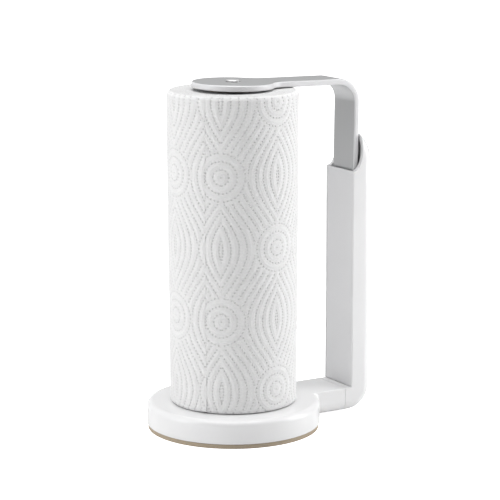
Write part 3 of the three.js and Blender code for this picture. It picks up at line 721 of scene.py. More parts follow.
def towel_ends(name):
    """The wound edges of the sheets: rings round the axis with uneven tone."""
    look = new_material(name, finishes().paper, 0.95)
    tree = look[1]
    x, y, _ = split(tree, object_position(tree))
    waviness = noise(tree, object_position(tree), 45.0, 3.0) * 0.0012
    radius = (x * x + y * y).math("SQRT") + waviness
    layers = (radius * (FULL_TURN / (0.62 * MM))).math("SINE") * 0.5 + 0.5
    fibre = place_group(tree, fine_grain, Grain_scale=2600.0, Tone_scale=120.0, Relief=8e-5)
    tone = layers * 0.6 + fibre["Tone"] * 0.4
    height = layers * 2.4e-4 + fibre["Height"]
    return dress(look, tone, (0.8, 1.06), fibre["Tone"] * 0.08 + 0.88, height)


def wound_board(name):
    """Spiral-wound board: a helical seam and mottled pulp."""
    look = new_material(name, finishes().board, 0.9)
    tree = look[1]
    x, y, z = split(tree, object_position(tree))
    bearing = y.math("ARCTAN2", x) / FULL_TURN
    winding = (z / (72 * MM) + bearing).wrapped(1.0).math("ABSOLUTE")
    seam = (winding * -90.0 + 1.0).math("MAXIMUM", 0.0)
    pulp = place_group(tree, fine_grain, Grain_scale=1500.0, Tone_scale=140.0, Relief=9e-5)
    tone = pulp["Tone"] * 0.6 + pulp["Speckle"] * 0.4 - seam * 0.7
    height = pulp["Height"] - seam * 2e-4
    return dress(look, tone, (0.6, 1.35), pulp["Tone"] * 0.1 + 0.85, height)


# ------------------------------------------------------------------ the roll

ROLL_COLUMNS = 340
ROLL_ROWS = 250
END_ROWS = 8
FACING = math.radians(-120.4)        # bearing of the roll's best side
TAIL_TURN = math.radians(-24.5)      # the loose edge, from the best side
MOTIF_TURN = math.radians(-10.2)     # a column of motifs, from the best side
MOTIF_HEIGHT = 160.2 * MM            # where the pattern's own height starts
END_DEPTH = 6 * MM                   # how far the skin's unevenness reaches into the ends
SHEET_STEP = 0.16 * MM               # rise of the skin over one turn, at the loose edge
TAIL_LIFT = 0.14 * MM                # how far the loose edge stands off
TAIL_SPREAD = 9.0                    # how far round the lift fades, in mm
CORNER_LIFT = 0.9 * MM               # how far the loose edge's lower corner curls out
CORNER_RISE = 0.8 * MM
CORNER_SPREAD = 5.0                  # in mm
WANDER = 0.22 * MM                   # slow unevenness of the winding
END_FOLDS = 0.25 * MM                # unevenness of the wound ends
FOOT_ROUND = 1.5 * MM
TOP_ROUND = 3 * MM


def roll_rows():
    """Radius, height and share of relief of every row, from the bore's foot to its top."""
    size = sizes()
    inner = size.core_radius + 0.3 * MM
    first, last = size.roll_low - FOOT_ROUND, size.roll_high - TOP_ROUND
    start, end = size.roll_foot + FOOT_ROUND, size.roll_top - TOP_ROUND
    rows = [(radius, size.roll_foot, 0.0) for radius in between(inner, first, END_ROWS)]
    rows += [(radius, z, 0.2)
             for radius, z in arc((first, start), FOOT_ROUND, -QUARTER_TURN, 0, 3)[:-1]]
    for i in range(ROLL_ROWS + 1):
        share = i / ROLL_ROWS
        swell = math.sin(min(1.0, share * 1.05) * QUARTER_TURN)
        radius = size.roll_low + (size.roll_high - size.roll_low) * swell
        rows.append((radius, start + (end - start) * share, 1.0))
    rows += [(radius, z, 0.35)
             for radius, z in arc((last, end), TOP_ROUND, 0, QUARTER_TURN, 5)[1:]]
    rows += [(radius, size.roll_top, 0.0) for radius in between(inner, last, END_ROWS)[::-1]]
    return rows


def fading(distance, spread):
    """A bell curve: 1 at no distance, and almost 0 at twice the spread."""
    return np.exp(-(distance / spread) ** 2)


def paper_roll():
    """A grid rolled up into the towel roll, with puffs, a loose edge and wound ends."""
    size = sizes()
    rows = roll_rows()
    deselect()
    bpy.ops.mesh.primitive_grid_add(x_subdivisions=ROLL_COLUMNS, y_subdivisions=len(rows) - 1,
                                    size=1)
    piece = named("towel_roll")
    mesh = piece.data
    count = len(mesh.vertices)
    flat = np.zeros(count * 3, np.float32)
    mesh.vertices.foreach_get("co", flat)
    flat = flat.reshape(-1, 3).astype(float)
    column = np.rint((flat[:, 0] + 0.5) * ROLL_COLUMNS).astype(int)
    row = np.rint((flat[:, 1] + 0.5) * (len(rows) - 1)).astype(int)
    radius, z, share = (np.array(part)[row] for part in zip(*rows))

    around = column / ROLL_COLUMNS
    girth = FULL_TURN * size.roll_high / MM
    across = around * girth - (MOTIF_TURN - TAIL_TURN) * size.roll_high / MM
    tall = (z - MOTIF_HEIGHT) / MM
    skin = share > 0.1
    depth = np.where(skin, 1.0, np.clip((radius - size.roll_low) / END_DEPTH + 1, 0, 1))
    raised = puffs(across, tall) * PUFF * share
    wander = WANDER * np.sin(3 * around * FULL_TURN + 0.02 * tall) * np.sin(0.045 * tall + 1)
    from_tail = (1 - around) * girth
    lower = np.clip((size.roll_foot + 0.17 - z) / 0.15, 0.25, 1)
    lift = fading(from_tail, TAIL_SPREAD) * lower * TAIL_LIFT
    from_foot = (z - size.roll_foot) / MM
    corner = fading(from_tail, CORNER_SPREAD) * fading(from_foot, CORNER_SPREAD)
    offset = depth * (SHEET_STEP * around + lift + corner * CORNER_LIFT + wander) + raised
    radius = radius - PUFF * 0.9 + offset
    bearing = FACING + TAIL_TURN + around * FULL_TURN
    folds = np.where(skin, 0.0, END_FOLDS * np.sin(radius / MM * 2.1) * (1 - depth))
    height = z + corner * CORNER_RISE * depth
    height = height - np.abs(folds) * np.where(row > len(rows) / 2, 1, -1)
    rolled = np.stack([radius * np.cos(bearing), radius * np.sin(bearing), height], 1)
    mesh.vertices.foreach_set("co", rolled.astype(np.float32).ravel())

    mesh.uv_layers[0].name = "towel"
    loops = np.zeros(len(mesh.loops), np.int32)
    mesh.loops.foreach_get("vertex_index", loops)
    laid = np.stack([across * MM, tall * MM], 1)[loops]
    mesh.uv_layers[0].data.foreach_set("uv", laid.astype(np.float32).ravel())
    close_roll(piece, len(rows))
    return piece


def close_roll(piece, row_count):
    """Join the grid's ends: the bore, and the step at the loose edge."""
    mesh = edit(piece, "VERT")
    mesh.verts.ensure_lookup_table()
    width = ROLL_COLUMNS + 1
    table = [[mesh.verts[r * width + c] for c in range(width)] for r in range(row_count)]
    for c in range(ROLL_COLUMNS):
        mesh.faces.new((table[-1][c], table[-1][c + 1], table[0][c + 1], table[0][c]))
    for r in range(row_count):
        after = (r + 1) % row_count
        mesh.faces.new((table[r][-1], table[r][0], table[after][0], table[after][-1]))
    bmesh.update_edit_mesh(piece.data)
    bpy.ops.mesh.select_all(action="SELECT")
    bpy.ops.mesh.dissolve_degenerate(threshold=TINY)
    bpy.ops.mesh.select_all(action="SELECT")
    bpy.ops.mesh.remove_doubles(threshold=2 * TINY)
    bpy.ops.mesh.normals_make_consistent(inside=False)
    leave_edit()
    activate(piece)
    bpy.ops.object.shade_smooth_by_angle(angle=math.radians(50))


class BuildRoll(bpy.types.Operator):
    """Build the towel roll and its board tube"""

    bl_idname = "holder.build_roll"
    bl_label = "Towel roll"

    def execute(self, context):
        size = sizes()
        roll = paper_roll()
        finish_piece(roll, towel_paper, "roll", "paper_roll")
        add_look(roll, towel_ends)
        for face in roll.data.polygons:
            reach = math.hypot(face.center.x, face.center.y)
            if abs(face.normal.z) > 0.9 or reach < size.core_radius + 1 * MM:
                face.material_index = 1
        inner = size.core_radius - 1.6 * MM
        foot, top = low("cardboard_core").z, high("cardboard_core").z
        lip = 0.35 * MM
        outer = size.core_radius
        tube = turned("board_tube", [
            (inner, foot + lip), (inner + lip, foot), (outer - lip, foot), (outer, foot + lip),
            (outer, top - lip), (outer - lip, top), (inner + lip, top), (inner, top - lip),
            (inner, foot + lip)])
        smooth(tube)
        finish_piece(tube, wound_board, "roll", "cardboard_core")
        return {"FINISHED"}


# ------------------------------------------------------------ base and handle

RIM = 0.6 * MM                       # rounding of the base's lower rim
BASE_WALL = 2.8 * MM
POST_REACH = 54 * MM                 # screw posts of the bottom cover, from the axis
BRACKET_POSTS = (46 * MM, 60 * MM)   # screw posts of the handle bracket, from the axis
BRACKET_TOP = 16 * MM
BORE_START = 74 * MM                 # where the neck's bore for the bracket begins
HUB_RECESS = 1.3 * MM                # depth of the hub's seat in the base
HUB_ROOM = 0.8 * MM                  # room round the hub's flange
COVER_SEAT = 1.9 * MM                # how deep the front cover is set
SIDE_STEP = 1.5 * MM                 # ledge inside the side walls that the cover rests on
HORN_HOLLOW = 3 * MM                 # from the horn's turning centre to its hollow
CAVITY_CORNER = 0.5 * MM
POST_RADIUS = 4.5 * MM
SCREW_HOLE = 1.9 * MM
AXLE_HOLE = 3.3 * MM
ELBOW_GAP = 0.3 * MM
ELBOW_STEPS = 20
HORN_STEPS = 24


def neck_half_at(z):
    """Half width of the neck at a height, with its rounded lower and upper edges."""
    size = sizes()
    corner, soft = size.handle_corner, size.soft_edge
    floor = low("base_shell").z
    half = size.handle_half
    if z < floor + corner:
        rise = floor + corner - z
        return half - corner + math.sqrt(max(0.0, corner ** 2 - rise ** 2))
    if z > size.base_top - soft:
        rise = z - size.base_top + soft
        return half - soft + math.sqrt(max(0.0, soft ** 2 - rise ** 2))
    return half


def base_radius_at(z):
    """Radius of the base at a height, with its rounded top and lower rim."""
    size = sizes()
    if z < size.base_low + RIM:
        rise = size.base_low + RIM - z
        return size.base_radius - RIM + math.sqrt(max(0.0, RIM ** 2 - rise ** 2))
    if z > size.base_top - size.base_round:
        rise = z - size.base_top + size.base_round
        return size.base_radius - size.base_round + math.sqrt(
            max(0.0, size.base_round ** 2 - rise ** 2))
    return size.base_radius


def base_outline(z, radius, half, fillet, end):
    """Outline of base and neck at one height."""
    return disc_with_bar(z, radius, half, fillet, end, 10, ROUND_STEPS)


def neck_foot_outline(z, radius, half, end):
    """Outline of the neck alone, below the base's rim."""
    corner = math.sqrt(radius ** 2 - half ** 2)
    meet = math.atan2(half, corner)
    spread = 0.02 * MM               # keeps the points that the fillet will need apart
    points = [(x, -half) for x in between(end, corner, BAR_STEPS)]
    points += [(corner + spread * (10 - i), -half) for i in range(11)]
    points += arc((0, 0), radius, -meet, meet, ROUND_STEPS)[1:-1]
    points += [(corner + spread * i, half) for i in range(11)]
    points += [(x, half) for x in between(end, corner, BAR_STEPS)[::-1]]
    return [Vector((x, y, z)) for x, y in points]


def handle_section(half, front, rear, corner, soft, steps=10):
    """Section of the handle as depth and width, from the front's right corner round the back."""
    points = arc((front + soft, soft - half), soft, -math.pi, -QUARTER_TURN, 4)
    points += arc((rear - corner, corner - half), corner, -QUARTER_TURN, 0, steps)
    points += arc((rear - corner, half - corner), corner, 0, QUARTER_TURN, steps)
    points += arc((front + soft, half - soft), soft, QUARTER_TURN, math.pi, 4)
    return points


def neck_ring(section, x):
    """The section standing across the neck, its depth pointing down."""
    top = sizes().base_top
    return [Vector((x, v, top - u)) for u, v in section]


def turned_ring(section, centre, turn):
    """The section turned about a cross axis; a turn of 0 has its depth pointing down."""
    return [Vector((centre[0] + u * math.sin(turn), v, centre[1] - u * math.cos(turn)))
            for u, v in section]


def elbow_rings(section, start):
    """Rings from the neck's end round the elbow to the foot of the column."""
    size = sizes()
    corner = (size.handle_front, size.base_top)
    rings = [neck_ring(section, start), neck_ring(section, size.handle_front - ELBOW_GAP)]
    rings += [turned_ring(section, corner, turn)
              for turn in between(0, QUARTER_TURN, ELBOW_STEPS) + [QUARTER_TURN]]
    return rings


def lifted(ring, rise):
    """The same ring, higher up."""
    return [point + Vector((0, 0, rise)) for point in ring]


def base_rings(end):
    """Outlines from the neck's underside to the flush top of base and neck."""
    size = sizes()
    floor = low("base_shell").z
    rings = []
    for z in (floor, floor + RIM / 3, floor + RIM, size.base_low):
        rings.append(neck_foot_outline(z, size.base_radius - RIM, neck_half_at(z), end))
    heights = [size.base_low, size.base_low + RIM / 3, size.base_low + RIM]
    corner_top = floor + size.handle_corner
    heights += between(size.base_low + 2 * RIM, corner_top, 8) + [corner_top]
    round_start = size.base_top - size.base_round
    heights += [z for _, z in arc((0, round_start), size.base_round, 0, QUARTER_TURN, 16)]
    for z in heights:
        rings.append(base_outline(z, base_radius_at(z), neck_half_at(z), size.neck_fillet, end))
    inset = 0.5 * MM
    rings.append(base_outline(size.base_top, base_radius_at(size.base_top) - inset,
                              neck_half_at(size.base_top) - inset, size.neck_fillet + inset, end))
    return rings


def base_body():
    """The base with its neck: lofted, hollowed from below, and given its screw posts."""
    size = sizes()
    end = high("base_shell").x
    body = loft("base_body", base_rings(end))
    ceiling = size.base_top - BASE_WALL
    room = size.base_radius - BASE_WALL
    combine(body, turned("room", [(0, 0), (room, 0), (room, ceiling - BASE_WALL),
                                  (room - BASE_WALL, ceiling), (0, ceiling)], 160))
    depth = size.handle_rear - size.handle_front
    bore = handle_section(size.handle_half - size.wall, size.wall, depth - size.wall,
                          size.handle_corner - size.wall, 1.5 * MM, 6)
    combine(body, loft("bore", [neck_ring(bore, BORE_START), neck_ring(bore, end + MM)]))
    posts = [(POST_REACH * math.cos(a), POST_REACH * math.sin(a), size.base_low + size.wall)
             for a in (math.pi / 4 + i * QUARTER_TURN for i in range(4))]
    posts += [(x, 0, BRACKET_TOP) for x in BRACKET_POSTS]
    for x, y, z in posts:
        combine(body, rod("post", POST_RADIUS, (x, y, z), (x, y, ceiling + MM)), "UNION")
        combine(body, rod("hole", SCREW_HOLE, (x, y, z - MM), (x, y, ceiling - MM), 16))
    flange = high("turntable_hub").y + HUB_ROOM
    combine(body, rod("recess", flange, (0, 0, size.base_top - HUB_RECESS),
                      (0, 0, size.base_top + MM), 128))
    combine(body, rod("axle_hole", AXLE_HOLE, (0, 0, ceiling - MM), (0, 0, size.base_top), 32))
    clean(body)
    smooth(body)
    return body


class BuildBase(bpy.types.Operator):
    """Build the round base with its neck, and the pad under it"""

    bl_idname = "holder.build_base"
    bl_label = "Base and pad"

    def execute(self, context):
        finish_piece(base_body(), gloss_shell, "stand", "base_shell")
        radius = high("antislip_pad").y
        top = high("antislip_pad").z
        pad = turned("grip_pad", [
            (0, 0.5 * MM), (radius - 7 * MM, 0.5 * MM), (radius - 6.5 * MM, 0),
            (radius - 0.9 * MM, 0), (radius - 0.25 * MM, 0.2 * MM), (radius, 0.8 * MM),
            (radius, top - 0.3 * MM), (radius - 0.3 * MM, top), (0, top)], 180)
        smooth(pad)
        finish_piece(pad, pad_rubber, "stand", "antislip_pad")
        return {"FINISHED"}


def column_body():
    """The handle: elbow, column and horn lofted in one, then hollowed and scooped out."""
    size = sizes()
    depth = size.handle_rear - size.handle_front
    start = low("column_shell").x
    horn_z = size.column_top + size.horn_start
    horn_x = size.handle_rear - size.horn_radius
    outer = handle_section(size.handle_half, 0, depth, size.handle_corner, size.soft_edge)
    rings = elbow_rings(outer, start)
    rings.append(lifted(rings[-1], MM))
    horn = [(u + size.handle_front - horn_x, v) for u, v in outer]
    rings += [turned_ring(horn, (horn_x, horn_z), QUARTER_TURN + turn)
              for turn in between(0, math.radians(80), HORN_STEPS)]
    body = loft("column_body", rings)

    cavity_half = size.handle_half - size.wall - SIDE_STEP
    inner = handle_section(cavity_half, size.wall, depth - size.wall,
                           size.handle_corner - size.wall, CAVITY_CORNER)
    inner_rings = elbow_rings(inner, start - MM)
    inner_rings.append(lifted(inner_rings[-1], horn_z - size.base_top + 0.5 * MM))
    combine(body, loft("cavity", inner_rings))
    slot_half = size.handle_half - size.wall
    front = size.handle_front
    combine(body, block("slot", (front - MM, front + COVER_SEAT), (-slot_half, slot_half),
                        (size.base_top, horn_z)))
    combine(body, block("mouth", (front - MM, front + depth / 2), (-cavity_half, cavity_half),
                        (size.base_top, horn_z)))
    hollow = handle_section(cavity_half, HORN_HOLLOW, size.horn_radius - size.wall,
                            size.handle_corner - size.wall, CAVITY_CORNER)
    hollow_turns = between(math.radians(89), math.radians(182), HORN_STEPS)
    combine(body, loft("hollow", [turned_ring(hollow, (horn_x, horn_z), turn)
                                  for turn in hollow_turns]))
    wide = size.handle_half + MM
    centre = Vector((front, 0, size.column_top + size.scoop_height / 2))
    scoop = rod("scoop", 1, (front, -wide, centre.z), (front, wide, centre.z), 96)
    scale = Matrix.Diagonal((size.scoop_depth, 1, size.scoop_height / 2, 1))
    scoop.data.transform(Matrix.Translation(centre) @ scale @ Matrix.Translation(-centre))
    combine(body, scoop)
    combine(body, block("above", (front - 12 * MM, high("arm_strap").x + 0.3 * MM),
                        (-wide, wide), (centre.z, horn_z + size.horn_radius + MM)))
    clean(body)
    return body


class BuildColumn(bpy.types.Operator):
    """Build the handle column and its front cover"""

    bl_idname = "holder.build_column"
    bl_label = "Handle column"

    def execute(self, context):
        body = column_body()
        smooth(body)
        finish_piece(body, gloss_shell, "stand", "column_shell")
        lowest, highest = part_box("column_cover")
        near = 10 * TINY
        cover = block("front_cover", (lowest.x, highest.x), (lowest.y, highest.y),
                      (lowest.z, highest.z))
        bevel_edges(cover, lambda edge: all(v.co.x < lowest.x + near for v in edge.verts),
                    0.4 * MM, 4)
        bevel_edges(cover, lambda edge: all(v.co.z > highest.z - near and v.co.x > lowest.x + MM
                                            for v in edge.verts), 0.3 * MM, 3)
        smooth(cover)
        finish_piece(cover, front_cover_plastic, "stand", "column_cover")
        return {"FINISHED"}


# --------------------------------------------------------------------- the arm


def bend_centre():
    """Centre of the strap's bend, one radius from the leg's and the run's inner faces."""
    size = sizes()
    lean, rise = size.arm_lean, size.arm_rise
    under = disc_under()
    leg_x = size.handle_front + size.arm_setback
    run = under * math.cos(rise) - size.arm_bend
    leg = leg_x * math.cos(lean) - size.column_top * math.sin(lean) - size.arm_bend
    scale = math.sin(rise) * -math.sin(lean) - math.cos(rise) * math.cos(lean)
    x = (run * -math.sin(lean) - math.cos(rise) * leg) / scale
    z = (math.sin(rise) * leg - run * math.cos(lean)) / scale
    return x, z


def disc_under():
    """Height of the disc's underside on the axis."""
    size = sizes()
    return size.roll_top + 0.3 * MM + size.roll_high * math.tan(size.arm_rise)


def strap_outline(end):
    """Plan of disc and strap."""
    size = sizes()
    return disc_with_bar(0, size.disc_radius, size.arm_half, size.disc_fillet, end, 14, 120)


def strap():
    """The flat disc and bar, with its bend spun and its leg extruded from the bar's end."""
    size = sizes()
    centre_x, centre_z = bend_centre()
    rise, lean = size.arm_rise, size.arm_lean
    under = disc_under()
    along = centre_x * math.cos(rise) - (centre_z - under) * math.sin(rise)
    leg_x = size.handle_front + size.arm_setback
    down = ((centre_x - leg_x) * math.sin(lean)
            + (centre_z - size.column_top) * math.cos(lean))
    outline = strap_outline(along)
    piece = loft("arm_strap_bar", [outline, lifted(outline, size.arm_thickness)])

    def at_end(part):
        return all(vert.co.x > along - TINY for vert in part.verts)

    def on_rim(edge):
        level = abs(edge.verts[0].co.z - edge.verts[1].co.z) < TINY
        return level and not at_end(edge)

    bevel_edges(piece, on_rim, size.arm_edge, 5)
    pick(piece, "FACE", at_end)
    sweep = QUARTER_TURN + lean - rise
    bpy.ops.mesh.spin(steps=28, angle=-sweep, center=(along, 0, -size.arm_bend), axis=(0, 1, 0))
    leg = down + size.arm_insertion
    way = Vector((math.cos(sweep), 0, -math.sin(sweep)))
    bpy.ops.mesh.extrude_region_move(TRANSFORM_OT_translate={"value": way * leg})
    leave_edit()
    piece.data.transform(Matrix.Translation((0, 0, under)) @ Matrix.Rotation(rise, 4, "Y"))
    clean(piece)
    return piece


class BuildArm(bpy.types.Operator):
    """Build the satin strap with its disc, and the axle cap"""

    bl_idname = "holder.build_arm"
    bl_label = "Arm"

    def execute(self, context):
        size = sizes()
        piece = strap()
        tilt = Matrix.Translation((0, 0, disc_under())) @ Matrix.Rotation(size.arm_rise, 4, "Y")
        hole = rod("hole", AXLE_HOLE, (0, 0, -MM), (0, 0, size.arm_thickness + MM), 48)
        hole.data.transform(tilt)
        combine(piece, hole)
        smooth(piece)
        finish_piece(piece, satin_strap_metal, "arm", "arm_strap")
        # the strap's side faces take a second, lighter look: a painted highlight for the light
        # they catch
        add_look(piece, strap_edge)
        for face in piece.data.polygons:
            on_disc = face.center.x < size.disc_radius + size.disc_fillet
            outward = abs(face.normal.z) < 0.8 if on_disc else abs(face.normal.y) > 0.6
            inside_hole = math.hypot(face.center.x, face.center.y) < 0.5 * size.disc_radius
            face.material_index = int(outward and not inside_hole)
        top = size.arm_thickness + 0.3 * MM
        cap = turned("axle_cap", [
            (0, -8.5 * MM), (2.6 * MM, -8.5 * MM), (3 * MM, -8.1 * MM), (3 * MM, top),
            (5.7 * MM, top), (6 * MM, top + 0.2 * MM), (6 * MM, top + 0.5 * MM),
            (5.7 * MM, top + 0.85 * MM), (4.9 * MM, top + 1.1 * MM), (3.2 * MM, top + 1.25 * MM),
            (0, top + 1.3 * MM)], 64)
        cap.data.transform(tilt)
        smooth(cap)
        finish_piece(cap, polished_cap_metal, "arm", "plug_axle")
        return {"FINISHED"}


# ------------------------------------------------------------------- hardware


def spring_path():
    """Points and sideways directions along the spring: hook, coil, hook."""
    coil, turns, steps = 3.4 * MM, 10, 12
    x = (low("spring_anchor_pin").x + high("spring_anchor_pin").x) / 2
    foot = (low("spring_anchor_pin").z + high("spring_anchor_pin").z) / 2
    top = (low("spring_hook_pin").z + high("spring_hook_pin").z) / 2
    hook, shank = 2.4 * MM, 9 * MM
    points = [(x + u, 0, foot + w) for u, w in arc((0, 0), hook, math.pi, 2.25 * math.pi, 10)]
    points.append((x, 0, foot + 5.5 * MM))
    rise = top - foot - 2 * shank
    for i in range(turns * steps + 1):
        turn = i * FULL_TURN / steps
        points.append((x + coil * math.cos(turn), coil * math.sin(turn),
                       foot + shank + rise * i / (turns * steps)))
    points.append((x, 0, top - 5.5 * MM))
    points += [(x + u, 0, top + w) for u, w in arc((0, 0), hook, -0.25 * math.pi, math.pi, 10)]
    return [Vector(point) for point in points], foot, top


def spring():
    """A round wire drawn along the spring's path."""
    points, foot, top = spring_path()
    rings = []
    side = Vector((0, 1, 0))
    for i, point in enumerate(points):
        ahead = (points[min(i + 1, len(points) - 1)] - points[max(i - 1, 0)]).normalized()
        side = (side - ahead * side.dot(ahead)).normalized()
        up = ahead.cross(side)
        rings.append([point + side * u + up * v
                      for u, v in arc((0, 0), 0.6 * MM, 0, FULL_TURN, 10)[:-1]])
    wire = loft("spring_wire", rings)
    smooth(wire, 60)
    return wire, foot, top


def ribbed_cup(name, profile, ribs, reach, foot, top):
    """A turned cup with grip ribs round it."""
    cup = turned(name, profile, 72)
    for i in range(ribs):
        turn = i * FULL_TURN / ribs
        place = Vector((math.cos(turn), math.sin(turn), 0)) * reach
        rib = rod("rib", 0.9 * MM, place + Vector((0, 0, foot)), place + Vector((0, 0, top)), 20)
        combine(cup, rib, "UNION")
    clean(cup)
    smooth(cup)
    return cup


class BuildInside(bpy.types.Operator):
    """Build the return spring, the upper plug and the turntable hub"""

    bl_idname = "holder.build_inside"
    bl_label = "Spring, plug and hub"

    def execute(self, context):
        size = sizes()
        wire, foot, top = spring()
        add_look(wire, zinc_plate)
        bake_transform(wire)
        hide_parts("return_spring")

        radius = high("core_plug").y
        bore, crown, depth, skin = AXLE_HOLE, -1.4 * MM, -16 * MM, 2 * MM
        plug = ribbed_cup("plug_cup", [
            (bore, crown), (radius - 1.6 * MM, crown), (radius - 0.9 * MM, crown - 0.3 * MM),
            (radius - 0.6 * MM, crown - 1 * MM), (radius - 1.5 * MM, depth + 1 * MM),
            (radius - 2.2 * MM, depth), (radius - skin - 1.5 * MM, depth),
            (radius - skin - 1 * MM, crown - 4 * MM), (radius - skin - 2 * MM, crown - 3 * MM),
            (bore, crown - 3 * MM), (bore, crown)], 6, radius - 1.1 * MM, depth + 2.5 * MM,
            crown - 1.5 * MM)
        plug.data.transform(Matrix.Translation((0, 0, disc_under()))
                            @ Matrix.Rotation(size.arm_rise, 4, "Y"))
        finish_piece(plug, inner_plastic, "upper_plug", "core_plug")

        flange = high("turntable_hub").y
        low_z, high_z = low("turntable_hub").z, high("turntable_hub").z
        step = low_z + 1.2 * MM
        hub = ribbed_cup("hub_cup", [
            (bore, low_z), (flange - 0.3 * MM, low_z), (flange, low_z + 0.3 * MM),
            (flange, step - 0.3 * MM), (flange - 0.3 * MM, step), (radius - 0.2 * MM, step),
            (radius - 0.6 * MM, step + 0.4 * MM), (radius - 0.6 * MM, step + 4 * MM),
            (radius - 1.5 * MM, high_z - 1 * MM), (radius - 2.2 * MM, high_z),
            (radius - skin - 1.5 * MM, high_z), (radius - skin - 1.5 * MM, low_z + 3 * MM),
            (bore, low_z + 3 * MM), (bore, low_z)], 6, radius - 1.1 * MM, step + 1 * MM,
            high_z - 2.5 * MM)
        finish_piece(hub, inner_plastic, "roll", "turntable_hub")
        return {"FINISHED"}


class PaintHardware(bpy.types.Operator):
    """Give the inner CAD pieces their finishes"""

    bl_idname = "holder.paint_hardware"
    bl_label = "Inner hardware"

    def execute(self, context):
        looks = {"inner_plastic": inner_plastic, "zinc": zinc_plate, "ballast": cast_ballast}
        slots = {part["node"]: part["material_slot"] for part in frame["record"]["subparts"]}
        for node, piece in frame["nodes"].items():
            look = looks.get(slots[node])
            if look and not piece.hide_render:
                paint(piece, look)
        return {"FINISHED"}


# ---------------------------------------------------------------------- stage

CAMERA_TURN = math.radians(-30.38)
CAMERA_DISTANCE = 1734.3 * MM
CAMERA_HEIGHT = 495.4 * MM
CAMERA_YAW = math.radians(0.461)
CAMERA_PITCH = math.radians(11.26)
CAMERA_LENS = 153.76
BOX_AIM = Vector((0.03, 0, 0.13))    # the soft boxes face the middle of the holder
SOFT_BOXES = (                       # name, bearing, reach, height, width, tall, power
    ("box_left", -70, 1.2, 0.45, 0.7, 1.1, 7.2),
    ("box_right", 95, 1.2, 0.45, 0.7, 1.1, 10),
    ("box_top", 0, 0.01, 1.5, 1.2, 1.2, 9.4),
)
GLOWS = (                            # bearing, tilt, strength
    (0, QUARTER_TURN, 1.6),
    (math.pi, 0, 0.5),
    (math.radians(-135), 0, 0.58),
)


def add_camera():
    """A long lens, a little above the holder and turned to the best side."""
    deselect()
    place = (math.sin(CAMERA_TURN) * CAMERA_DISTANCE, -math.cos(CAMERA_TURN) * CAMERA_DISTANCE,
             CAMERA_HEIGHT)
    turn = (QUARTER_TURN - CAMERA_PITCH, 0, CAMERA_TURN - CAMERA_YAW)
    bpy.ops.object.camera_add(location=place, rotation=turn)
    camera = bpy.context.active_object
    camera.name = "camera"
    camera.data.lens = CAMERA_LENS
    camera.data.sensor_width = 36
    camera.data.clip_end = 50
    bpy.context.scene.camera = camera


def add_soft_box(name, bearing, reach, height, width, tall, power):
    """A soft box at a bearing from the camera's side: positive is to the right."""
    turn = CAMERA_TURN + math.radians(bearing)
    place = Vector((math.sin(turn) * reach, -math.cos(turn) * reach, height))
    turned_to = (BOX_AIM - place).to_track_quat("-Z", "Y").to_euler()
    deselect()
    bpy.ops.object.light_add(type="AREA", location=place, rotation=turned_to)
    light = bpy.context.active_object
    light.name = name
    light.data.shape = "RECTANGLE"
    light.data.size = width
    light.data.size_y = tall
    light.data.energy = power


def seen_directly(tree):
    """1 for what the camera sees itself, 0 for what lights the holder."""
    return Signal(tree, tree.nodes.new("ShaderNodeLightPath").outputs["Is Camera Ray"])


def studio_floor(name):
    """Pale and even; the camera sees it as bright as the surround."""
    tint = finishes().floor
    material, tree, shader = new_material(name, tint, 0.9)
    tone = place_group(tree, fine_grain, Grain_scale=200.0, Tone_scale=0.8)["Tone"]
    tint_between(tree, tone, shaded(tint, 0.99), shaded(tint, 1.01), shader.inputs["Base Color"])
    shader.inputs["Emission Color"].default_value = (1, 1, 1, 1)
    seen_directly(tree).into(shader.inputs["Emission Strength"])
    return material


def glow_towards(tree, bearing, tilt, strength):
    """Soft light from one side of the surround; the bearing counts from the camera's side."""
    turn = CAMERA_TURN + bearing
    node = tree.nodes.new("ShaderNodeVectorMath")
    node.operation = "DOT_PRODUCT"
    tree.links.new(object_position(tree), node.inputs[0])
    node.inputs[1].default_value = (math.sin(turn) * math.cos(tilt),
                                    -math.cos(turn) * math.cos(tilt), math.sin(tilt))
    return Signal(tree, node.outputs["Value"]).math("MAXIMUM", 0.0).math("POWER", 4.0) * strength


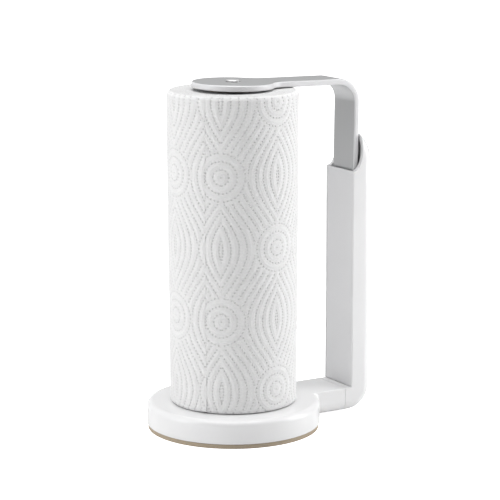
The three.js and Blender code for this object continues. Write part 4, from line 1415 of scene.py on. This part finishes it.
def white_surround():
    """White to the camera; to the holder it glows from above, from behind and from one side."""
    world = bpy.data.worlds.new("White surround")
    world.use_nodes = True
    tree = world.node_tree
    background = tree.nodes["Background"]
    background.inputs["Color"].default_value = (1, 1, 1, 1)
    above, behind, beside = (glow_towards(tree, *glow) for glow in GLOWS)
    glow = above + behind + beside
    direct = seen_directly(tree)
    (glow + (glow * -1.0 + 1.0) * direct).into(background.inputs["Strength"])
    return world


class BuildStage(bpy.types.Operator):
    """Set up the camera, the floor, the soft light and the white surround"""

    bl_idname = "holder.build_stage"
    bl_label = "Stage"

    def execute(self, context):
        add_camera()
        deselect()
        bpy.ops.mesh.primitive_plane_add(size=30)
        floor = named("floor")
        add_look(floor, studio_floor)
        for box in SOFT_BOXES:
            add_soft_box(*box)
        context.scene.world = white_surround()
        context.scene.view_settings.view_transform = "Standard"
        return {"FINISHED"}


# ----------------------------------------------------------------- panel, run

STEPS = (BuildStage, BuildRoll, BuildBase, BuildColumn, BuildArm, BuildInside, PaintHardware)


class HolderPanel(bpy.types.Panel):
    """Lists the steps that build the towel holder"""

    bl_idname = "VIEW3D_PT_towel_holder"
    bl_label = "Towel Holder"
    bl_space_type = "VIEW_3D"
    bl_region_type = "UI"
    bl_category = "Towel Holder"

    def draw(self, context):
        for step in STEPS:
            self.layout.operator(step.bl_idname)
        for group in (context.scene.holder_sizes, context.scene.holder_finish):
            box = self.layout.box()
            for name in group.__annotations__:
                box.prop(group, name)


CLASSES = (HolderSizes, HolderFinish, *STEPS, HolderPanel)


def register():
    for item in CLASSES:
        bpy.utils.register_class(item)
    bpy.types.Scene.holder_sizes = bpy.props.PointerProperty(type=HolderSizes)
    bpy.types.Scene.holder_finish = bpy.props.PointerProperty(type=HolderFinish)


def unregister():
    del bpy.types.Scene.holder_sizes
    del bpy.types.Scene.holder_finish
    for item in reversed(CLASSES):
        bpy.utils.unregister_class(item)


def main():
    """Build every piece in order."""
    register()
    bpy.ops.holder.build_stage()
    bpy.ops.holder.build_roll()
    bpy.ops.holder.build_base()
    bpy.ops.holder.build_column()
    bpy.ops.holder.build_arm()
    bpy.ops.holder.build_inside()
    bpy.ops.holder.paint_hardware()
    deselect()


if __name__ == "__main__":
    main()
